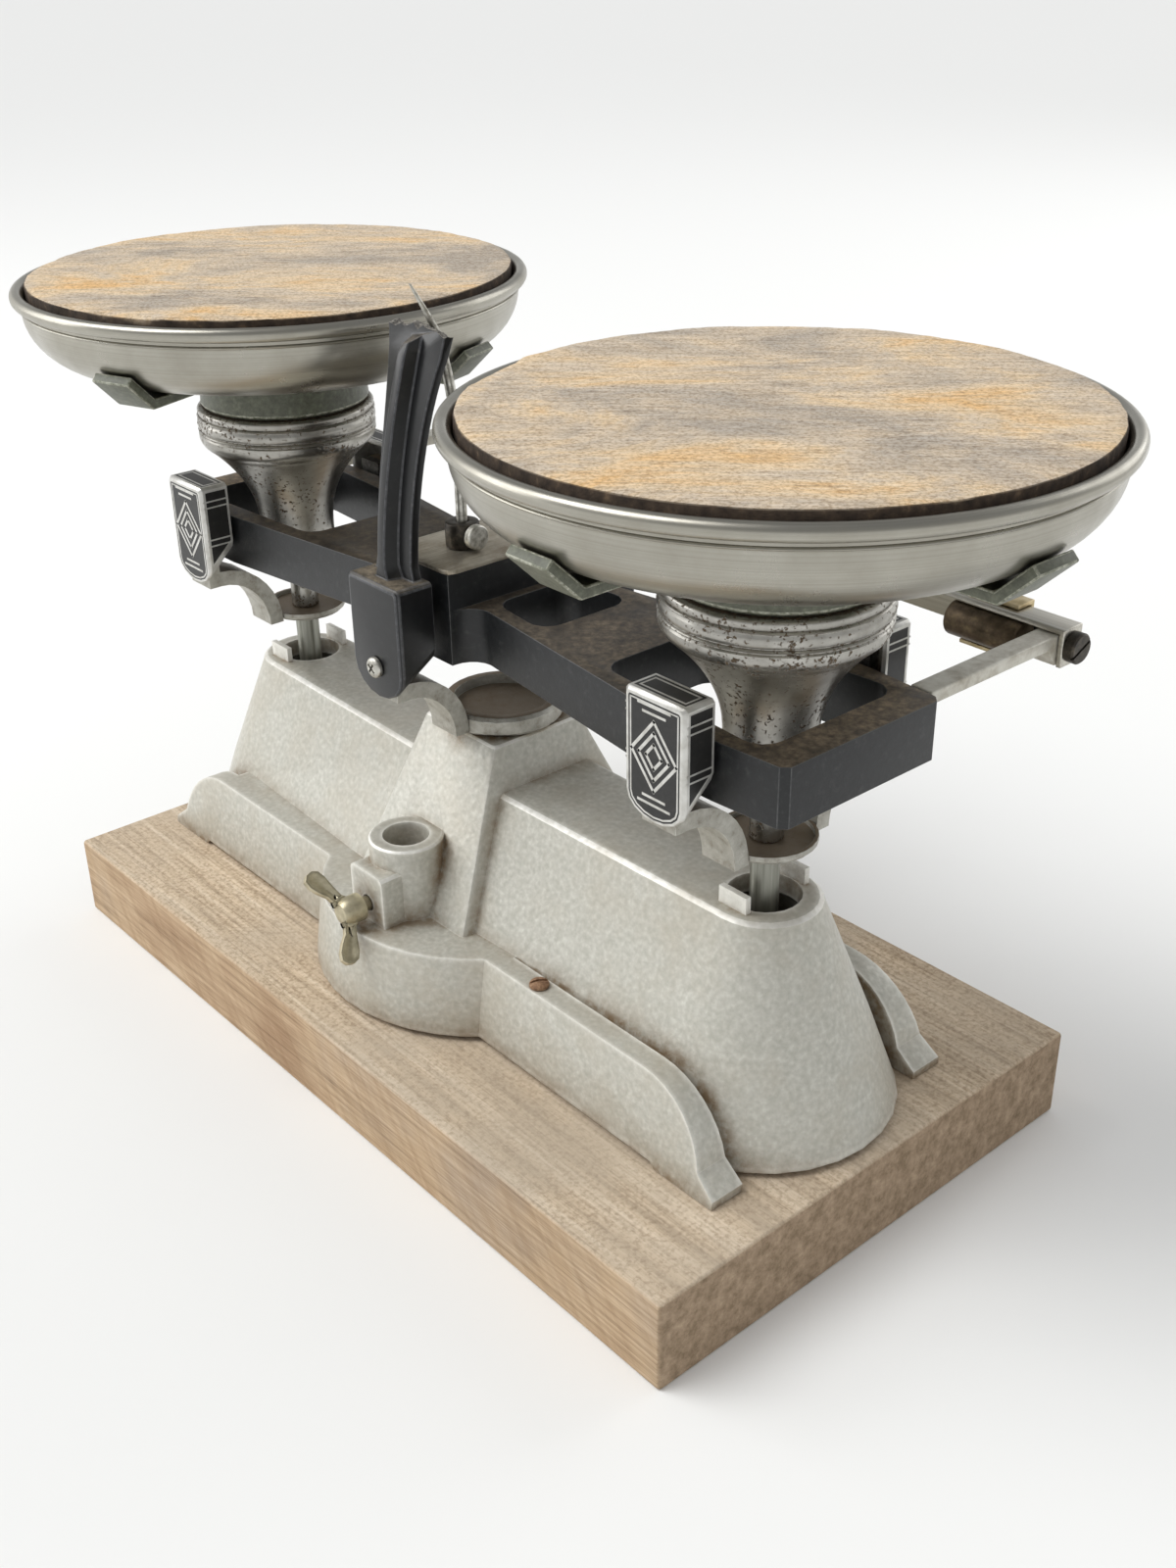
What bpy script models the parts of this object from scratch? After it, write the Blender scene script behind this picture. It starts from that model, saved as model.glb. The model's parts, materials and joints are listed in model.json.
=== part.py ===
"""Trip balance: an equal-arm scale with two pans, a cast base and a wooden board.

The frame is in metres with +Z up. The origin lies on the board's underside, straight below
the centre knife edge. +X runs along the beam to the right pan and -Y faces the front, where
the wing screw is. The beam turns about the knife line, which is parallel to Y.
"""
import bpy
import bmesh
from math import asin, cos, pi, radians, sin, sqrt
from mathutils import Matrix, Vector

MM = 0.001

# Gap between pieces that touch, and how far a cutter runs past what it cuts.
FIT = 0.3 * MM
OVERRUN = 2.0 * MM

# The board that the base is screwed to. The casting sits a little off its middle.
BOARD_LENGTH = 306.6 * MM
BOARD_WIDTH = 165.0 * MM
BOARD_THICKNESS = 29.0 * MM
BOARD_SHIFT_X = 2.0 * MM
BOARD_SHIFT_Y = 3.4 * MM
BOARD_EDGE = 0.8 * MM

# Driving sizes of the balance: pan spacing and the stack of heights above the board.
PAN_REACH = 111.4 * MM
LEDGE_HEIGHT = 26.7 * MM
TOWER_HEIGHT = 64.7 * MM
COLUMN_RISE = 14.0 * MM
KNIFE_RISE = 39.0 * MM
HEAD_RISE = 36.8 * MM
LINK_HEIGHT = 16.7 * MM
SIDES = (("front", -1), ("rear", 1))

FOOT_Z = BOARD_THICKNESS + FIT
LEDGE_TOP = FOOT_Z + LEDGE_HEIGHT
TOWER_TOP = FOOT_Z + TOWER_HEIGHT
COLUMN_TOP = TOWER_TOP + COLUMN_RISE
KNIFE_Z = COLUMN_TOP + KNIFE_RISE
HEAD_TOP = KNIFE_Z + HEAD_RISE
LINK_Z = FOOT_Z + LINK_HEIGHT


def clear_scene():
    """Remove whatever the file holds."""
    for thing in list(bpy.data.objects):
        bpy.data.objects.remove(thing, do_unlink=True)


def material(name, colour, roughness, metallic=0.0):
    """A plain Principled material, made once."""
    found = bpy.data.materials.get(name)
    if found:
        return found
    made = bpy.data.materials.new(name)
    made.use_nodes = True
    made.diffuse_color = (*colour, 1.0)
    shader = made.node_tree.nodes["Principled BSDF"]
    shader.inputs["Base Color"].default_value = (*colour, 1.0)
    shader.inputs["Roughness"].default_value = roughness
    shader.inputs["Metallic"].default_value = metallic
    return made


def weathered_wood():
    return material("weathered_wood", (0.24, 0.17, 0.12), 0.85)


def rough_sawn_wood():
    return material("rough_sawn_wood", (0.52, 0.38, 0.24), 0.9)


def hammered_enamel():
    return material("hammered_enamel", (0.55, 0.54, 0.50), 0.5, 0.2)


def grey_casting():
    return material("grey_casting", (0.50, 0.49, 0.45), 0.55, 0.3)


def black_enamel():
    return material("black_enamel", (0.02, 0.022, 0.025), 0.4)


def black_plastic():
    return material("black_plastic", (0.02, 0.02, 0.022), 0.35)


def satin_aluminium():
    return material("satin_aluminium", (0.72, 0.71, 0.68), 0.35, 1.0)


def pitted_chrome():
    return material("pitted_chrome", (0.55, 0.53, 0.50), 0.25, 1.0)


def green_grey_paint():
    return material("green_grey_paint", (0.24, 0.25, 0.17), 0.6)


def bright_steel():
    return material("bright_steel", (0.62, 0.61, 0.59), 0.3, 1.0)


def dark_steel():
    return material("dark_steel", (0.10, 0.10, 0.10), 0.4, 0.9)


def rusty_steel():
    return material("rusty_steel", (0.28, 0.13, 0.06), 0.8, 0.2)


def yellow_brass():
    return material("yellow_brass", (0.55, 0.45, 0.24), 0.35, 1.0)


def cover_metal():
    return material("cover_metal", (0.60, 0.60, 0.58), 0.35, 1.0)


def dark_bronze():
    return material("dark_bronze", (0.13, 0.09, 0.06), 0.35, 0.9)


def finish(name, bm, surface, smooth_angle=radians(35)):
    """Turn a bmesh into a named object with outward faces."""
    bmesh.ops.recalc_face_normals(bm, faces=bm.faces[:])
    mesh = bpy.data.meshes.new(name)
    bm.to_mesh(mesh)
    bm.free()
    mesh.materials.append(surface)
    mesh.shade_smooth()
    mesh.set_sharp_from_angle(angle=smooth_angle)
    made = bpy.data.objects.new(name, mesh)
    bpy.context.scene.collection.objects.link(made)
    return made


def skin(bm, rings, closed_ends=True):
    """Join rings of equally many points into a wall and cap both ends."""
    rows = [[bm.verts.new(point) for point in ring] for ring in rings]
    count = len(rows[0])
    for lower, upper in zip(rows, rows[1:]):
        for i in range(count):
            j = (i + 1) % count
            bm.faces.new((lower[i], lower[j], upper[j], upper[i]))
    if closed_ends:
        bm.faces.new(rows[0])
        bm.faces.new(rows[-1])
    else:
        first, last = rows[0], rows[-1]
        for i in range(count):
            j = (i + 1) % count
            bm.faces.new((last[i], last[j], first[j], first[i]))


def turn_into(bm, profile, segments, centre=(0.0, 0.0)):
    """Revolve an open (radius, height) profile about a vertical line; ends are capped."""
    rings = []
    for radius, height in profile:
        steps = [2 * pi * i / segments for i in range(segments)]
        rings.append([Vector((centre[0] + radius * cos(a), centre[1] + radius * sin(a), height))
                      for a in steps])
    skin(bm, rings)


def ring_into(bm, profile, segments, centre=(0.0, 0.0)):
    """Revolve a closed (radius, height) profile that stays clear of the axis."""
    rings = []
    for radius, height in profile:
        steps = [2 * pi * i / segments for i in range(segments)]
        rings.append([Vector((centre[0] + radius * cos(a), centre[1] + radius * sin(a), height))
                      for a in steps])
    skin(bm, rings, closed_ends=False)


def slab_into(bm, outline, low, high, axis="Z"):
    """Extrude a flat outline along one axis between two places."""
    places = {
        "Z": lambda u, v, w: Vector((u, v, w)),
        "Y": lambda u, v, w: Vector((u, w, v)),
        "X": lambda u, v, w: Vector((w, u, v)),
    }
    place = places[axis]
    skin(bm, [[place(u, v, low) for u, v in outline], [place(u, v, high) for u, v in outline]])


def box_into(bm, low, high):
    """A plain box between two corners."""
    outline = [(low[0], low[1]), (high[0], low[1]), (high[0], high[1]), (low[0], high[1])]
    slab_into(bm, outline, low[2], high[2])


def rod_into(bm, start, end, radius, segments, end_radius=None):
    """A straight round rod between two points, tapered where an end radius is given."""
    along = (end - start).normalized()
    side = along.orthogonal().normalized()
    across = along.cross(side)
    rings = []
    for centre, size in ((start, radius), (end, radius if end_radius is None else end_radius)):
        rings.append([centre + side * size * cos(2 * pi * i / segments)
                      + across * size * sin(2 * pi * i / segments) for i in range(segments)])
    skin(bm, rings)


def rounded(points, radius, steps):
    """Replace each corner of a closed outline by an arc."""
    result = []
    count = len(points)
    for i in range(count):
        corner = Vector(points[i])
        back = (Vector(points[i - 1]) - corner).normalized()
        ahead = (Vector(points[(i + 1) % count]) - corner).normalized()
        half_angle = back.angle(ahead) / 2
        reach = radius / sin(half_angle) * cos(half_angle)
        middle = corner + (back + ahead).normalized() * (radius / sin(half_angle))
        start = corner + back * reach - middle
        end = corner + ahead * reach - middle
        for k in range(steps + 1):
            blend = start.lerp(end, k / steps)
            result.append(tuple(middle + blend.normalized() * radius))
    return result


def arc(centre, radius, start, end, steps):
    """Points of an arc, angles in radians."""
    angles = [start + (end - start) * i / steps for i in range(steps + 1)]
    return [(centre[0] + radius * cos(a), centre[1] + radius * sin(a)) for a in angles]


def mirrored(outline):
    """The outline mirrored in its first coordinate, still in order."""
    return [(-u, v) for u, v in reversed(outline)]


def modify(target, tool, operation):
    """Boolean one object with a helper that stays in the file as a hidden guide."""
    step = target.modifiers.new(operation.lower(), "BOOLEAN")
    step.operation = operation
    step.object = tool
    step.solver = "EXACT"
    tool.hide_render = True
    tool.display_type = "WIRE"
    tool.parent = target


def soften(target, width, segments=1):
    """Bevel the sharp edges of an object."""
    step = target.modifiers.new("soft_edges", "BEVEL")
    step.width = width
    step.segments = segments
    step.limit_method = "ANGLE"
    step.angle_limit = radians(40)


def hang(name, spot, pieces, carrier=None):
    """An empty on a joint's axis that carries the pieces which move with it."""
    pivot = bpy.data.objects.new(name, None)
    pivot.empty_display_size = FIT
    bpy.context.scene.collection.objects.link(pivot)
    pivot.location = spot
    if carrier:
        pivot.parent = bpy.data.objects[carrier]
        pivot.matrix_parent_inverse = Matrix.Translation(pivot.parent.location).inverted()
    for piece in pieces:
        child = bpy.data.objects[piece]
        child.parent = pivot
        child.matrix_parent_inverse = Matrix.Translation(spot).inverted()


def build_board():
    """A plank with lightly broken edges."""
    bm = bmesh.new()
    half = Vector((BOARD_LENGTH / 2, BOARD_WIDTH / 2))
    box_into(bm, (BOARD_SHIFT_X - half.x, BOARD_SHIFT_Y - half.y, 0.0),
             (BOARD_SHIFT_X + half.x, BOARD_SHIFT_Y + half.y, BOARD_THICKNESS))
    soften(finish("board", bm, weathered_wood()), BOARD_EDGE)


# The base casting: two conical towers joined by a ridge, a ledge with swept ends and feet,
# a bulge and a square column in the middle, and a clamp socket on the front.
SKIRT_RISE = 1.5 * MM
TOWER_TOP_RADIUS = 16.8 * MM
TOWER_LEDGE_RADIUS = 30.6 * MM
TOWER_FOOT_RADIUS = 39.8 * MM
RIDGE_TOP_HALF = 18.6 * MM
RIDGE_LEDGE_HALF = 35.5 * MM
RIDGE_FOOT_HALF = 44.0 * MM
RIDGE_MIDDLE_X = 22.0 * MM
TOWER_ROUND = 3.2 * MM
LEDGE_TOP_HALF = 42.0 * MM
LEDGE_FOOT_HALF = 46.5 * MM
FIN_THICKNESS = 11.6 * MM
FIN_SWEEP = 24.0 * MM
TOE_LENGTH = 6.0 * MM
TOE_HEIGHT = 2.4 * MM
FOOT_PAD_LENGTH = 22.0 * MM
BULGE_RADIUS = 52.5 * MM
BULGE_FOOT_RADIUS = 56.0 * MM
BULGE_SETBACK = 9.2 * MM
COLUMN_TOP_HALF_X = 17.4 * MM
COLUMN_TOP_HALF_Y = 17.2 * MM
COLUMN_FOOT_HALF_X = 28.0 * MM
COLUMN_FOOT_HALF_Y = 41.0 * MM
COLUMN_CORNER = 1.4 * MM
BASE_WALL = 5.0 * MM
ROD_HOLE_RADIUS = 10.4 * MM
STOP_HEIGHT = 5.0 * MM
STOP_THICKNESS = 1.8 * MM
STOP_LENGTH = 10.0 * MM
SOCKET_Y = -39.0 * MM
SOCKET_RADIUS = 11.5 * MM
SOCKET_BORE_RADIUS = 7.2 * MM
SOCKET_HEIGHT = 24.0 * MM
SOCKET_DEPTH = 26.0 * MM
LUG_HALF_WIDTH = 8.2 * MM
LUG_REACH = 15.5 * MM
LUG_HEIGHT = 17.0 * MM
CLAMP_SCREW_RADIUS = 2.4 * MM
CLAMP_SCREW_DROP = 18.0 * MM
EAR_GAP_HALF = 6.4 * MM
EAR_THICKNESS = 5.0 * MM
EAR_HALF_LENGTH = 7.0 * MM
LINK_PIN_RADIUS = 2.5 * MM
EAR_DROP = 6.0 * MM

SKIRT_Z = FOOT_Z + SKIRT_RISE
FIN_INNER = LEDGE_FOOT_HALF - FIN_THICKNESS
FIN_START = PAN_REACH - SKIRT_RISE
CLAMP_Z = LEDGE_TOP + SOCKET_HEIGHT - CLAMP_SCREW_DROP
LUG_FACE = SOCKET_Y - LUG_REACH


def ridge_outline(end_radius, middle_half, arc_steps=14):
    """Plan of the two towers and the ridge between them."""
    right = [(RIDGE_MIDDLE_X, -middle_half)]
    right += arc((PAN_REACH, 0.0), end_radius, -pi / 2, pi / 2, arc_steps)
    right += [(RIDGE_MIDDLE_X, middle_half)]
    left = [(-x, -y) for x, y in right]
    return right + left


def level_ring(outline, height):
    return [Vector((x, y, height)) for x, y in outline]


def towers_into(bm):
    """Loft of the tower outlines with a rounded top edge."""
    round_start = TOWER_TOP - TOWER_ROUND
    rings = [
        level_ring(ridge_outline(TOWER_FOOT_RADIUS, RIDGE_FOOT_HALF), SKIRT_Z),
        level_ring(ridge_outline(TOWER_LEDGE_RADIUS, RIDGE_LEDGE_HALF), LEDGE_TOP),
        level_ring(ridge_outline(TOWER_TOP_RADIUS, RIDGE_TOP_HALF), round_start),
    ]
    for angle in (radians(35), radians(65), radians(90)):
        inset = TOWER_ROUND * (1 - cos(angle))
        outline = ridge_outline(TOWER_TOP_RADIUS - inset, RIDGE_TOP_HALF - inset)
        rings.append(level_ring(outline, round_start + TOWER_ROUND * sin(angle)))
    skin(bm, rings)


def ledge_half(height):
    """Half width of the ledge's drafted side at a height."""
    share = (height - FOOT_Z) / (LEDGE_TOP - FOOT_Z)
    return LEDGE_FOOT_HALF + (LEDGE_TOP_HALF - LEDGE_FOOT_HALF) * share


def side_wall_into(bm, side):
    """One long side wall: flat top, ends swept down to the toes, feet on the board."""
    toe_x = FIN_START + FIN_SWEEP + TOE_LENGTH
    toe_top = FOOT_Z + TOE_HEIGHT
    sweep_height = LEDGE_TOP - toe_top
    right = [(FIN_START + FIN_SWEEP * sin(a), toe_top + sweep_height * cos(a))
             for a in [radians(78) * i / 8 for i in range(9)]]
    right += [(toe_x, toe_top), (toe_x, FOOT_Z), (toe_x - FOOT_PAD_LENGTH, FOOT_Z),
              (toe_x - FOOT_PAD_LENGTH - SKIRT_RISE, SKIRT_Z)]
    outline = right + mirrored(right)
    outer = [Vector((x, side * ledge_half(z), z)) for x, z in outline]
    inner = [Vector((x, side * FIN_INNER, z)) for x, z in outline]
    skin(bm, [inner, outer])


def bulge_into(bm):
    """The drafted half round in the middle of the front."""
    foot = arc((0.0, -BULGE_SETBACK), BULGE_FOOT_RADIUS, radians(200), radians(340), 16)
    top = arc((0.0, -BULGE_SETBACK), BULGE_RADIUS, radians(200), radians(340), 16)
    skin(bm, [level_ring(foot, SKIRT_Z), level_ring(top, LEDGE_TOP)])


def rectangle(half_x, half_y, corner, steps=2):
    points = [(half_x, -half_y), (half_x, half_y), (-half_x, half_y), (-half_x, -half_y)]
    return rounded(points, corner, steps)


def column_into(bm):
    """The square column, wider at its foot, with a softened top edge."""
    low = LEDGE_TOP - OVERRUN
    edge = COLUMN_CORNER / 2
    skin(bm, [
        level_ring(rectangle(COLUMN_FOOT_HALF_X, COLUMN_FOOT_HALF_Y, COLUMN_CORNER), low),
        level_ring(rectangle(COLUMN_TOP_HALF_X, COLUMN_TOP_HALF_Y, COLUMN_CORNER),
                   COLUMN_TOP - edge),
        level_ring(rectangle(COLUMN_TOP_HALF_X - edge, COLUMN_TOP_HALF_Y - edge, COLUMN_CORNER),
                   COLUMN_TOP),
    ])


def helper(name, builders):
    """A hidden guide object made from one or more solids that don't touch."""
    bm = bmesh.new()
    for build in builders:
        build(bm)
    return finish(name, bm, hammered_enamel())


def build_base_casting():
    """Union of the outer forms, hollowed from below, then bored."""
    bm = bmesh.new()
    towers_into(bm)
    base = finish("base_casting", bm, hammered_enamel())
    walls = helper("base_side_walls", [lambda b: side_wall_into(b, -1), lambda b: side_wall_into(b, 1)])
    filler = helper("base_ledge_core", [lambda b: box_into(
        b, (-FIN_START, -ledge_half(LEDGE_TOP) + FIN_THICKNESS / 2, SKIRT_Z),
        (FIN_START, ledge_half(LEDGE_TOP) - FIN_THICKNESS / 2, LEDGE_TOP))])
    bulge = helper("base_bulge", [bulge_into])
    column = helper("base_column", [column_into])
    socket_top = LEDGE_TOP + SOCKET_HEIGHT
    socket = helper("base_socket", [lambda b: turn_into(b, [
        (SOCKET_RADIUS, LEDGE_TOP - OVERRUN), (SOCKET_RADIUS, socket_top - FIT * 2),
        (SOCKET_RADIUS - FIT * 2, socket_top)], 28, (0.0, SOCKET_Y))])
    lug_outline = rounded([(-LUG_HALF_WIDTH, LEDGE_TOP - OVERRUN), (LUG_HALF_WIDTH, LEDGE_TOP - OVERRUN),
                           (LUG_HALF_WIDTH, LEDGE_TOP + LUG_HEIGHT),
                           (-LUG_HALF_WIDTH, LEDGE_TOP + LUG_HEIGHT)], OVERRUN, 3)
    lug = helper("base_lug", [lambda b: slab_into(b, lug_outline, LUG_FACE, SOCKET_Y, "Y")])
    for part in (walls, filler, bulge, column, socket, lug):
        modify(base, part, "UNION")
    modify(base, helper("base_hollow", [hollow_into]), "DIFFERENCE")
    ears = helper("base_ears", [lambda b: ear_into(b, -1), lambda b: ear_into(b, 1)])
    modify(base, ears, "UNION")
    modify(base, helper("base_stops", [stop_solid(sx, sy) for sx in (-1, 1) for sy in (-1, 1)]), "UNION")
    modify(base, helper("base_rod_holes", [rod_hole(-1), rod_hole(1)]), "DIFFERENCE")
    modify(base, helper("base_socket_bore", [lambda b: turn_into(b, [
        (SOCKET_BORE_RADIUS, socket_top - SOCKET_DEPTH), (SOCKET_BORE_RADIUS, socket_top + OVERRUN)],
        24, (0.0, SOCKET_Y))]), "DIFFERENCE")
    modify(base, helper("base_screw_hole", [lambda b: rod_into(
        b, Vector((0.0, LUG_FACE - OVERRUN, CLAMP_Z)), Vector((0.0, SOCKET_Y, CLAMP_Z)),
        CLAMP_SCREW_RADIUS + FIT, 12)]), "DIFFERENCE")
    modify(base, helper("base_pin_hole", [lambda b: rod_into(
        b, Vector((0.0, -EAR_GAP_HALF - EAR_THICKNESS - OVERRUN, LINK_Z)),
        Vector((0.0, EAR_GAP_HALF + EAR_THICKNESS + OVERRUN, LINK_Z)),
        LINK_PIN_RADIUS + FIT, 12)]), "DIFFERENCE")


def hollow_into(bm):
    """The cavity under the towers and the ridge, open to the board."""
    ceiling = TOWER_TOP - BASE_WALL - STOP_THICKNESS / 2
    skin(bm, [
        level_ring(ridge_outline(TOWER_FOOT_RADIUS - BASE_WALL, RIDGE_FOOT_HALF - BASE_WALL, 10),
                   BOARD_THICKNESS - OVERRUN),
        level_ring(ridge_outline(TOWER_FOOT_RADIUS - BASE_WALL, RIDGE_FOOT_HALF - BASE_WALL, 10), SKIRT_Z),
        level_ring(ridge_outline(TOWER_LEDGE_RADIUS - BASE_WALL, RIDGE_LEDGE_HALF - BASE_WALL, 10),
                   LEDGE_TOP - STOP_THICKNESS),
        level_ring(ridge_outline(TOWER_TOP_RADIUS - BASE_WALL, RIDGE_TOP_HALF - BASE_WALL, 10), ceiling),
    ])


def ear_into(bm, side):
    """One of the two lugs that hang from the ceiling and hold the check link's pin."""
    near, far = sorted((side * EAR_GAP_HALF, side * (EAR_GAP_HALF + EAR_THICKNESS)))
    box_into(bm, (-EAR_HALF_LENGTH, near, LINK_Z - EAR_DROP),
             (EAR_HALF_LENGTH, far, TOWER_TOP - BASE_WALL / 2))


def stop_solid(side_x, side_y):
    """An upright fin beside the rod hole that stops the pan's tray."""
    x = side_x * PAN_REACH
    y = side_y * (ROD_HOLE_RADIUS + STOP_THICKNESS / 2)

    def build(bm):
        box_into(bm, (x - STOP_LENGTH / 2, y - STOP_THICKNESS / 2, TOWER_TOP - OVERRUN / 2),
                 (x + STOP_LENGTH / 2, y + STOP_THICKNESS / 2, TOWER_TOP + STOP_HEIGHT))
    return build


def rod_hole(side_x):
    def build(bm):
        low = TOWER_TOP - BASE_WALL - OVERRUN * 2
        turn_into(bm, [(ROD_HOLE_RADIUS, low), (ROD_HOLE_RADIUS, TOWER_TOP + OVERRUN)], 24,
                  (side_x * PAN_REACH, 0.0))
    return build


# The slotted wood screw through the ledge.
LEDGE_SCREW_X = 62.0 * MM
LEDGE_SCREW_RADIUS = 2.9 * MM
LEDGE_SCREW_HEIGHT = 1.8 * MM
SLOT_WIDTH = 0.8 * MM


def build_ledge_screw():
    middle_y = -(RIDGE_LEDGE_HALF + FIT + LEDGE_SCREW_RADIUS)
    bottom = LEDGE_TOP + FIT
    bm = bmesh.new()
    turn_into(bm, [(LEDGE_SCREW_RADIUS, bottom), (LEDGE_SCREW_RADIUS, bottom + LEDGE_SCREW_HEIGHT / 2),
                   (LEDGE_SCREW_RADIUS * 0.7, bottom + LEDGE_SCREW_HEIGHT)], 14, (LEDGE_SCREW_X, middle_y))
    screw = finish("ledge_screw", bm, rusty_steel())
    slot = helper("ledge_screw_slot", [lambda b: box_into(
        b, (LEDGE_SCREW_X - SLOT_WIDTH / 2, middle_y - LEDGE_SCREW_RADIUS - OVERRUN,
            bottom + LEDGE_SCREW_HEIGHT / 2),
        (LEDGE_SCREW_X + SLOT_WIDTH / 2, middle_y + LEDGE_SCREW_RADIUS + OVERRUN,
         bottom + LEDGE_SCREW_HEIGHT + OVERRUN))])
    modify(screw, slot, "DIFFERENCE")


# The wing screw that clamps a rod in the socket.
WING_HUB_RADIUS = 4.4 * MM
WING_HUB_LENGTH = 7.0 * MM
WING_HALF_SPAN = 15.2 * MM
WING_SWEEP = 7.2 * MM
WING_STANDOFF = 3.0 * MM
WING_THICKNESS = 2.2 * MM
WING_TURN = radians(49)
CLAMP_SCREW_LENGTH = 12.5 * MM


def build_wing_screw():
    """Shank, turned hub and two swept wings, on the screw's own axis."""
    hub_back = LUG_FACE - WING_STANDOFF
    bm = bmesh.new()
    turn_into(bm, [
        (CLAMP_SCREW_RADIUS, -CLAMP_SCREW_LENGTH), (CLAMP_SCREW_RADIUS, 0.0), (WING_HUB_RADIUS, 0.0),
        (WING_HUB_RADIUS, WING_HUB_LENGTH * 0.7), (WING_HUB_RADIUS * 0.75, WING_HUB_LENGTH)], 20)
    screw = finish("wing_screw", bm, yellow_brass())
    # The wing's outline as shares of its span and sweep, from the hub out to the rounded tip.
    wing_shares = [(0.15, 0.10), (0.34, 0.62), (0.55, 0.86), (0.80, 0.98), (0.95, 1.12), (1.0, 1.33),
                   (0.96, 1.54), (0.85, 1.66), (0.70, 1.60), (0.55, 1.42), (0.40, 1.18), (0.15, 0.98)]
    for side in (1, -1):
        outline = [(side * u * WING_HALF_SPAN, v * WING_SWEEP) for u, v in wing_shares]
        tool = helper("lower_wing" if side > 0 else "upper_wing", [lambda b: slab_into(
            b, outline, -WING_THICKNESS / 2, WING_THICKNESS / 2, "Y")])
        modify(screw, tool, "UNION")
    screw.rotation_euler = (radians(90), WING_TURN, 0.0)
    screw.location = (0.0, hub_back, CLAMP_Z)


# The lower check link, its fixed pin and the pins in the rods' forked ends.
LINK_THICKNESS = 5.0 * MM
LINK_HALF_HEIGHT = 4.5 * MM
LINK_HUB_RADIUS = 7.0 * MM
FORK_RADIUS = 6.5 * MM
FORK_REACH = 7.0 * MM
ROD_PIN_RADIUS = 1.5 * MM
PIN_PLAY = 0.4 * MM
CHECK_ROD_RADIUS = 4.0 * MM


def build_check_link():
    """A flat bar with round ends and a hub that turns on the fixed pin."""
    right = arc((PAN_REACH, 0.0), LINK_HALF_HEIGHT, -pi / 2, pi / 2, 8)
    outline = [(x, LINK_Z + z) for x, z in right + [(-x, -z) for x, z in right]]
    bm = bmesh.new()
    slab_into(bm, outline, -LINK_THICKNESS / 2, LINK_THICKNESS / 2, "Y")
    link = finish("check_link", bm, dark_steel())
    hub_half = EAR_GAP_HALF - PIN_PLAY
    hub = helper("check_link_hub", [lambda b: rod_into(
        b, Vector((0.0, -hub_half, LINK_Z)), Vector((0.0, hub_half, LINK_Z)), LINK_HUB_RADIUS, 20)])
    holes = [(0.0, LINK_PIN_RADIUS), (PAN_REACH, ROD_PIN_RADIUS), (-PAN_REACH, ROD_PIN_RADIUS)]
    bores = helper("check_link_bores", [bore_across(x, radius + PIN_PLAY) for x, radius in holes])
    modify(link, hub, "UNION")
    modify(link, bores, "DIFFERENCE")
    pin_half = EAR_GAP_HALF + EAR_THICKNESS
    bm = bmesh.new()
    rod_into(bm, Vector((0.0, -pin_half, LINK_Z)), Vector((0.0, pin_half, LINK_Z)), LINK_PIN_RADIUS, 12)
    finish("check_fulcrum_pin", bm, bright_steel())


def bore_across(x, radius):
    def build(bm):
        rod_into(bm, Vector((x, -FORK_RADIUS - OVERRUN, LINK_Z)),
                 Vector((x, FORK_RADIUS + OVERRUN, LINK_Z)), radius, 12)
    return build


# The beam: a flat frame, widest over the pans, with a raised hub across its middle.
BEAM_DROP = 10.8 * MM
BEAM_HEIGHT = 16.5 * MM
BEAM_OVERHANG = 31.1 * MM
BEAM_HALF_WIDTH = 29.9 * MM
BEAM_END_HALF_WIDTH = 28.4 * MM
BEAM_WAIST_HALF_WIDTH = 19.2 * MM
BEAM_CORNER = 2.0 * MM
BEAM_FLARE = 7.0 * MM
KNIFE_PAD_HALF = 7.0 * MM
HUB_HALF_LENGTH = 13.0 * MM
HUB_HALF_WIDTH = 27.5 * MM
HUB_RISE = 11.0 * MM
RAIL_WIDTH = 5.2 * MM
END_BAR = 11.0 * MM
CENTRE_OPENING_LENGTH = 24.5 * MM
PAN_OPENING_INSET = 41.4 * MM
OPENING_CORNER = 6.0 * MM

BEAM_BOTTOM = KNIFE_Z - BEAM_DROP
BEAM_TOP = BEAM_BOTTOM + BEAM_HEIGHT
BEAM_END = PAN_REACH + BEAM_OVERHANG
HUB_TOP = BEAM_TOP + HUB_RISE
FLARE_END = HUB_HALF_LENGTH + BEAM_FLARE


def rail_half(x):
    """Half width of the beam's straight tapering rails at a place along it."""
    share = (x - FLARE_END) / (PAN_REACH - KNIFE_PAD_HALF - FLARE_END)
    return BEAM_WAIST_HALF_WIDTH + (BEAM_HALF_WIDTH - BEAM_WAIST_HALF_WIDTH) * min(share, 1.0)


def beam_outline():
    """Plan of the whole beam, from its right front quarter."""
    flare = arc((FLARE_END, BEAM_WAIST_HALF_WIDTH + BEAM_FLARE), BEAM_FLARE, pi, 1.5 * pi, 5)
    quarter = [(HUB_HALF_LENGTH, HUB_HALF_WIDTH)] + flare
    quarter += [(PAN_REACH - KNIFE_PAD_HALF, BEAM_HALF_WIDTH), (PAN_REACH + KNIFE_PAD_HALF, BEAM_HALF_WIDTH),
                (BEAM_END - BEAM_CORNER, BEAM_END_HALF_WIDTH), (BEAM_END, BEAM_END_HALF_WIDTH - BEAM_CORNER)]
    right = [(x, -y) for x, y in quarter] + list(reversed(quarter))
    return right + [(-x, -y) for x, y in right]


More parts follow.
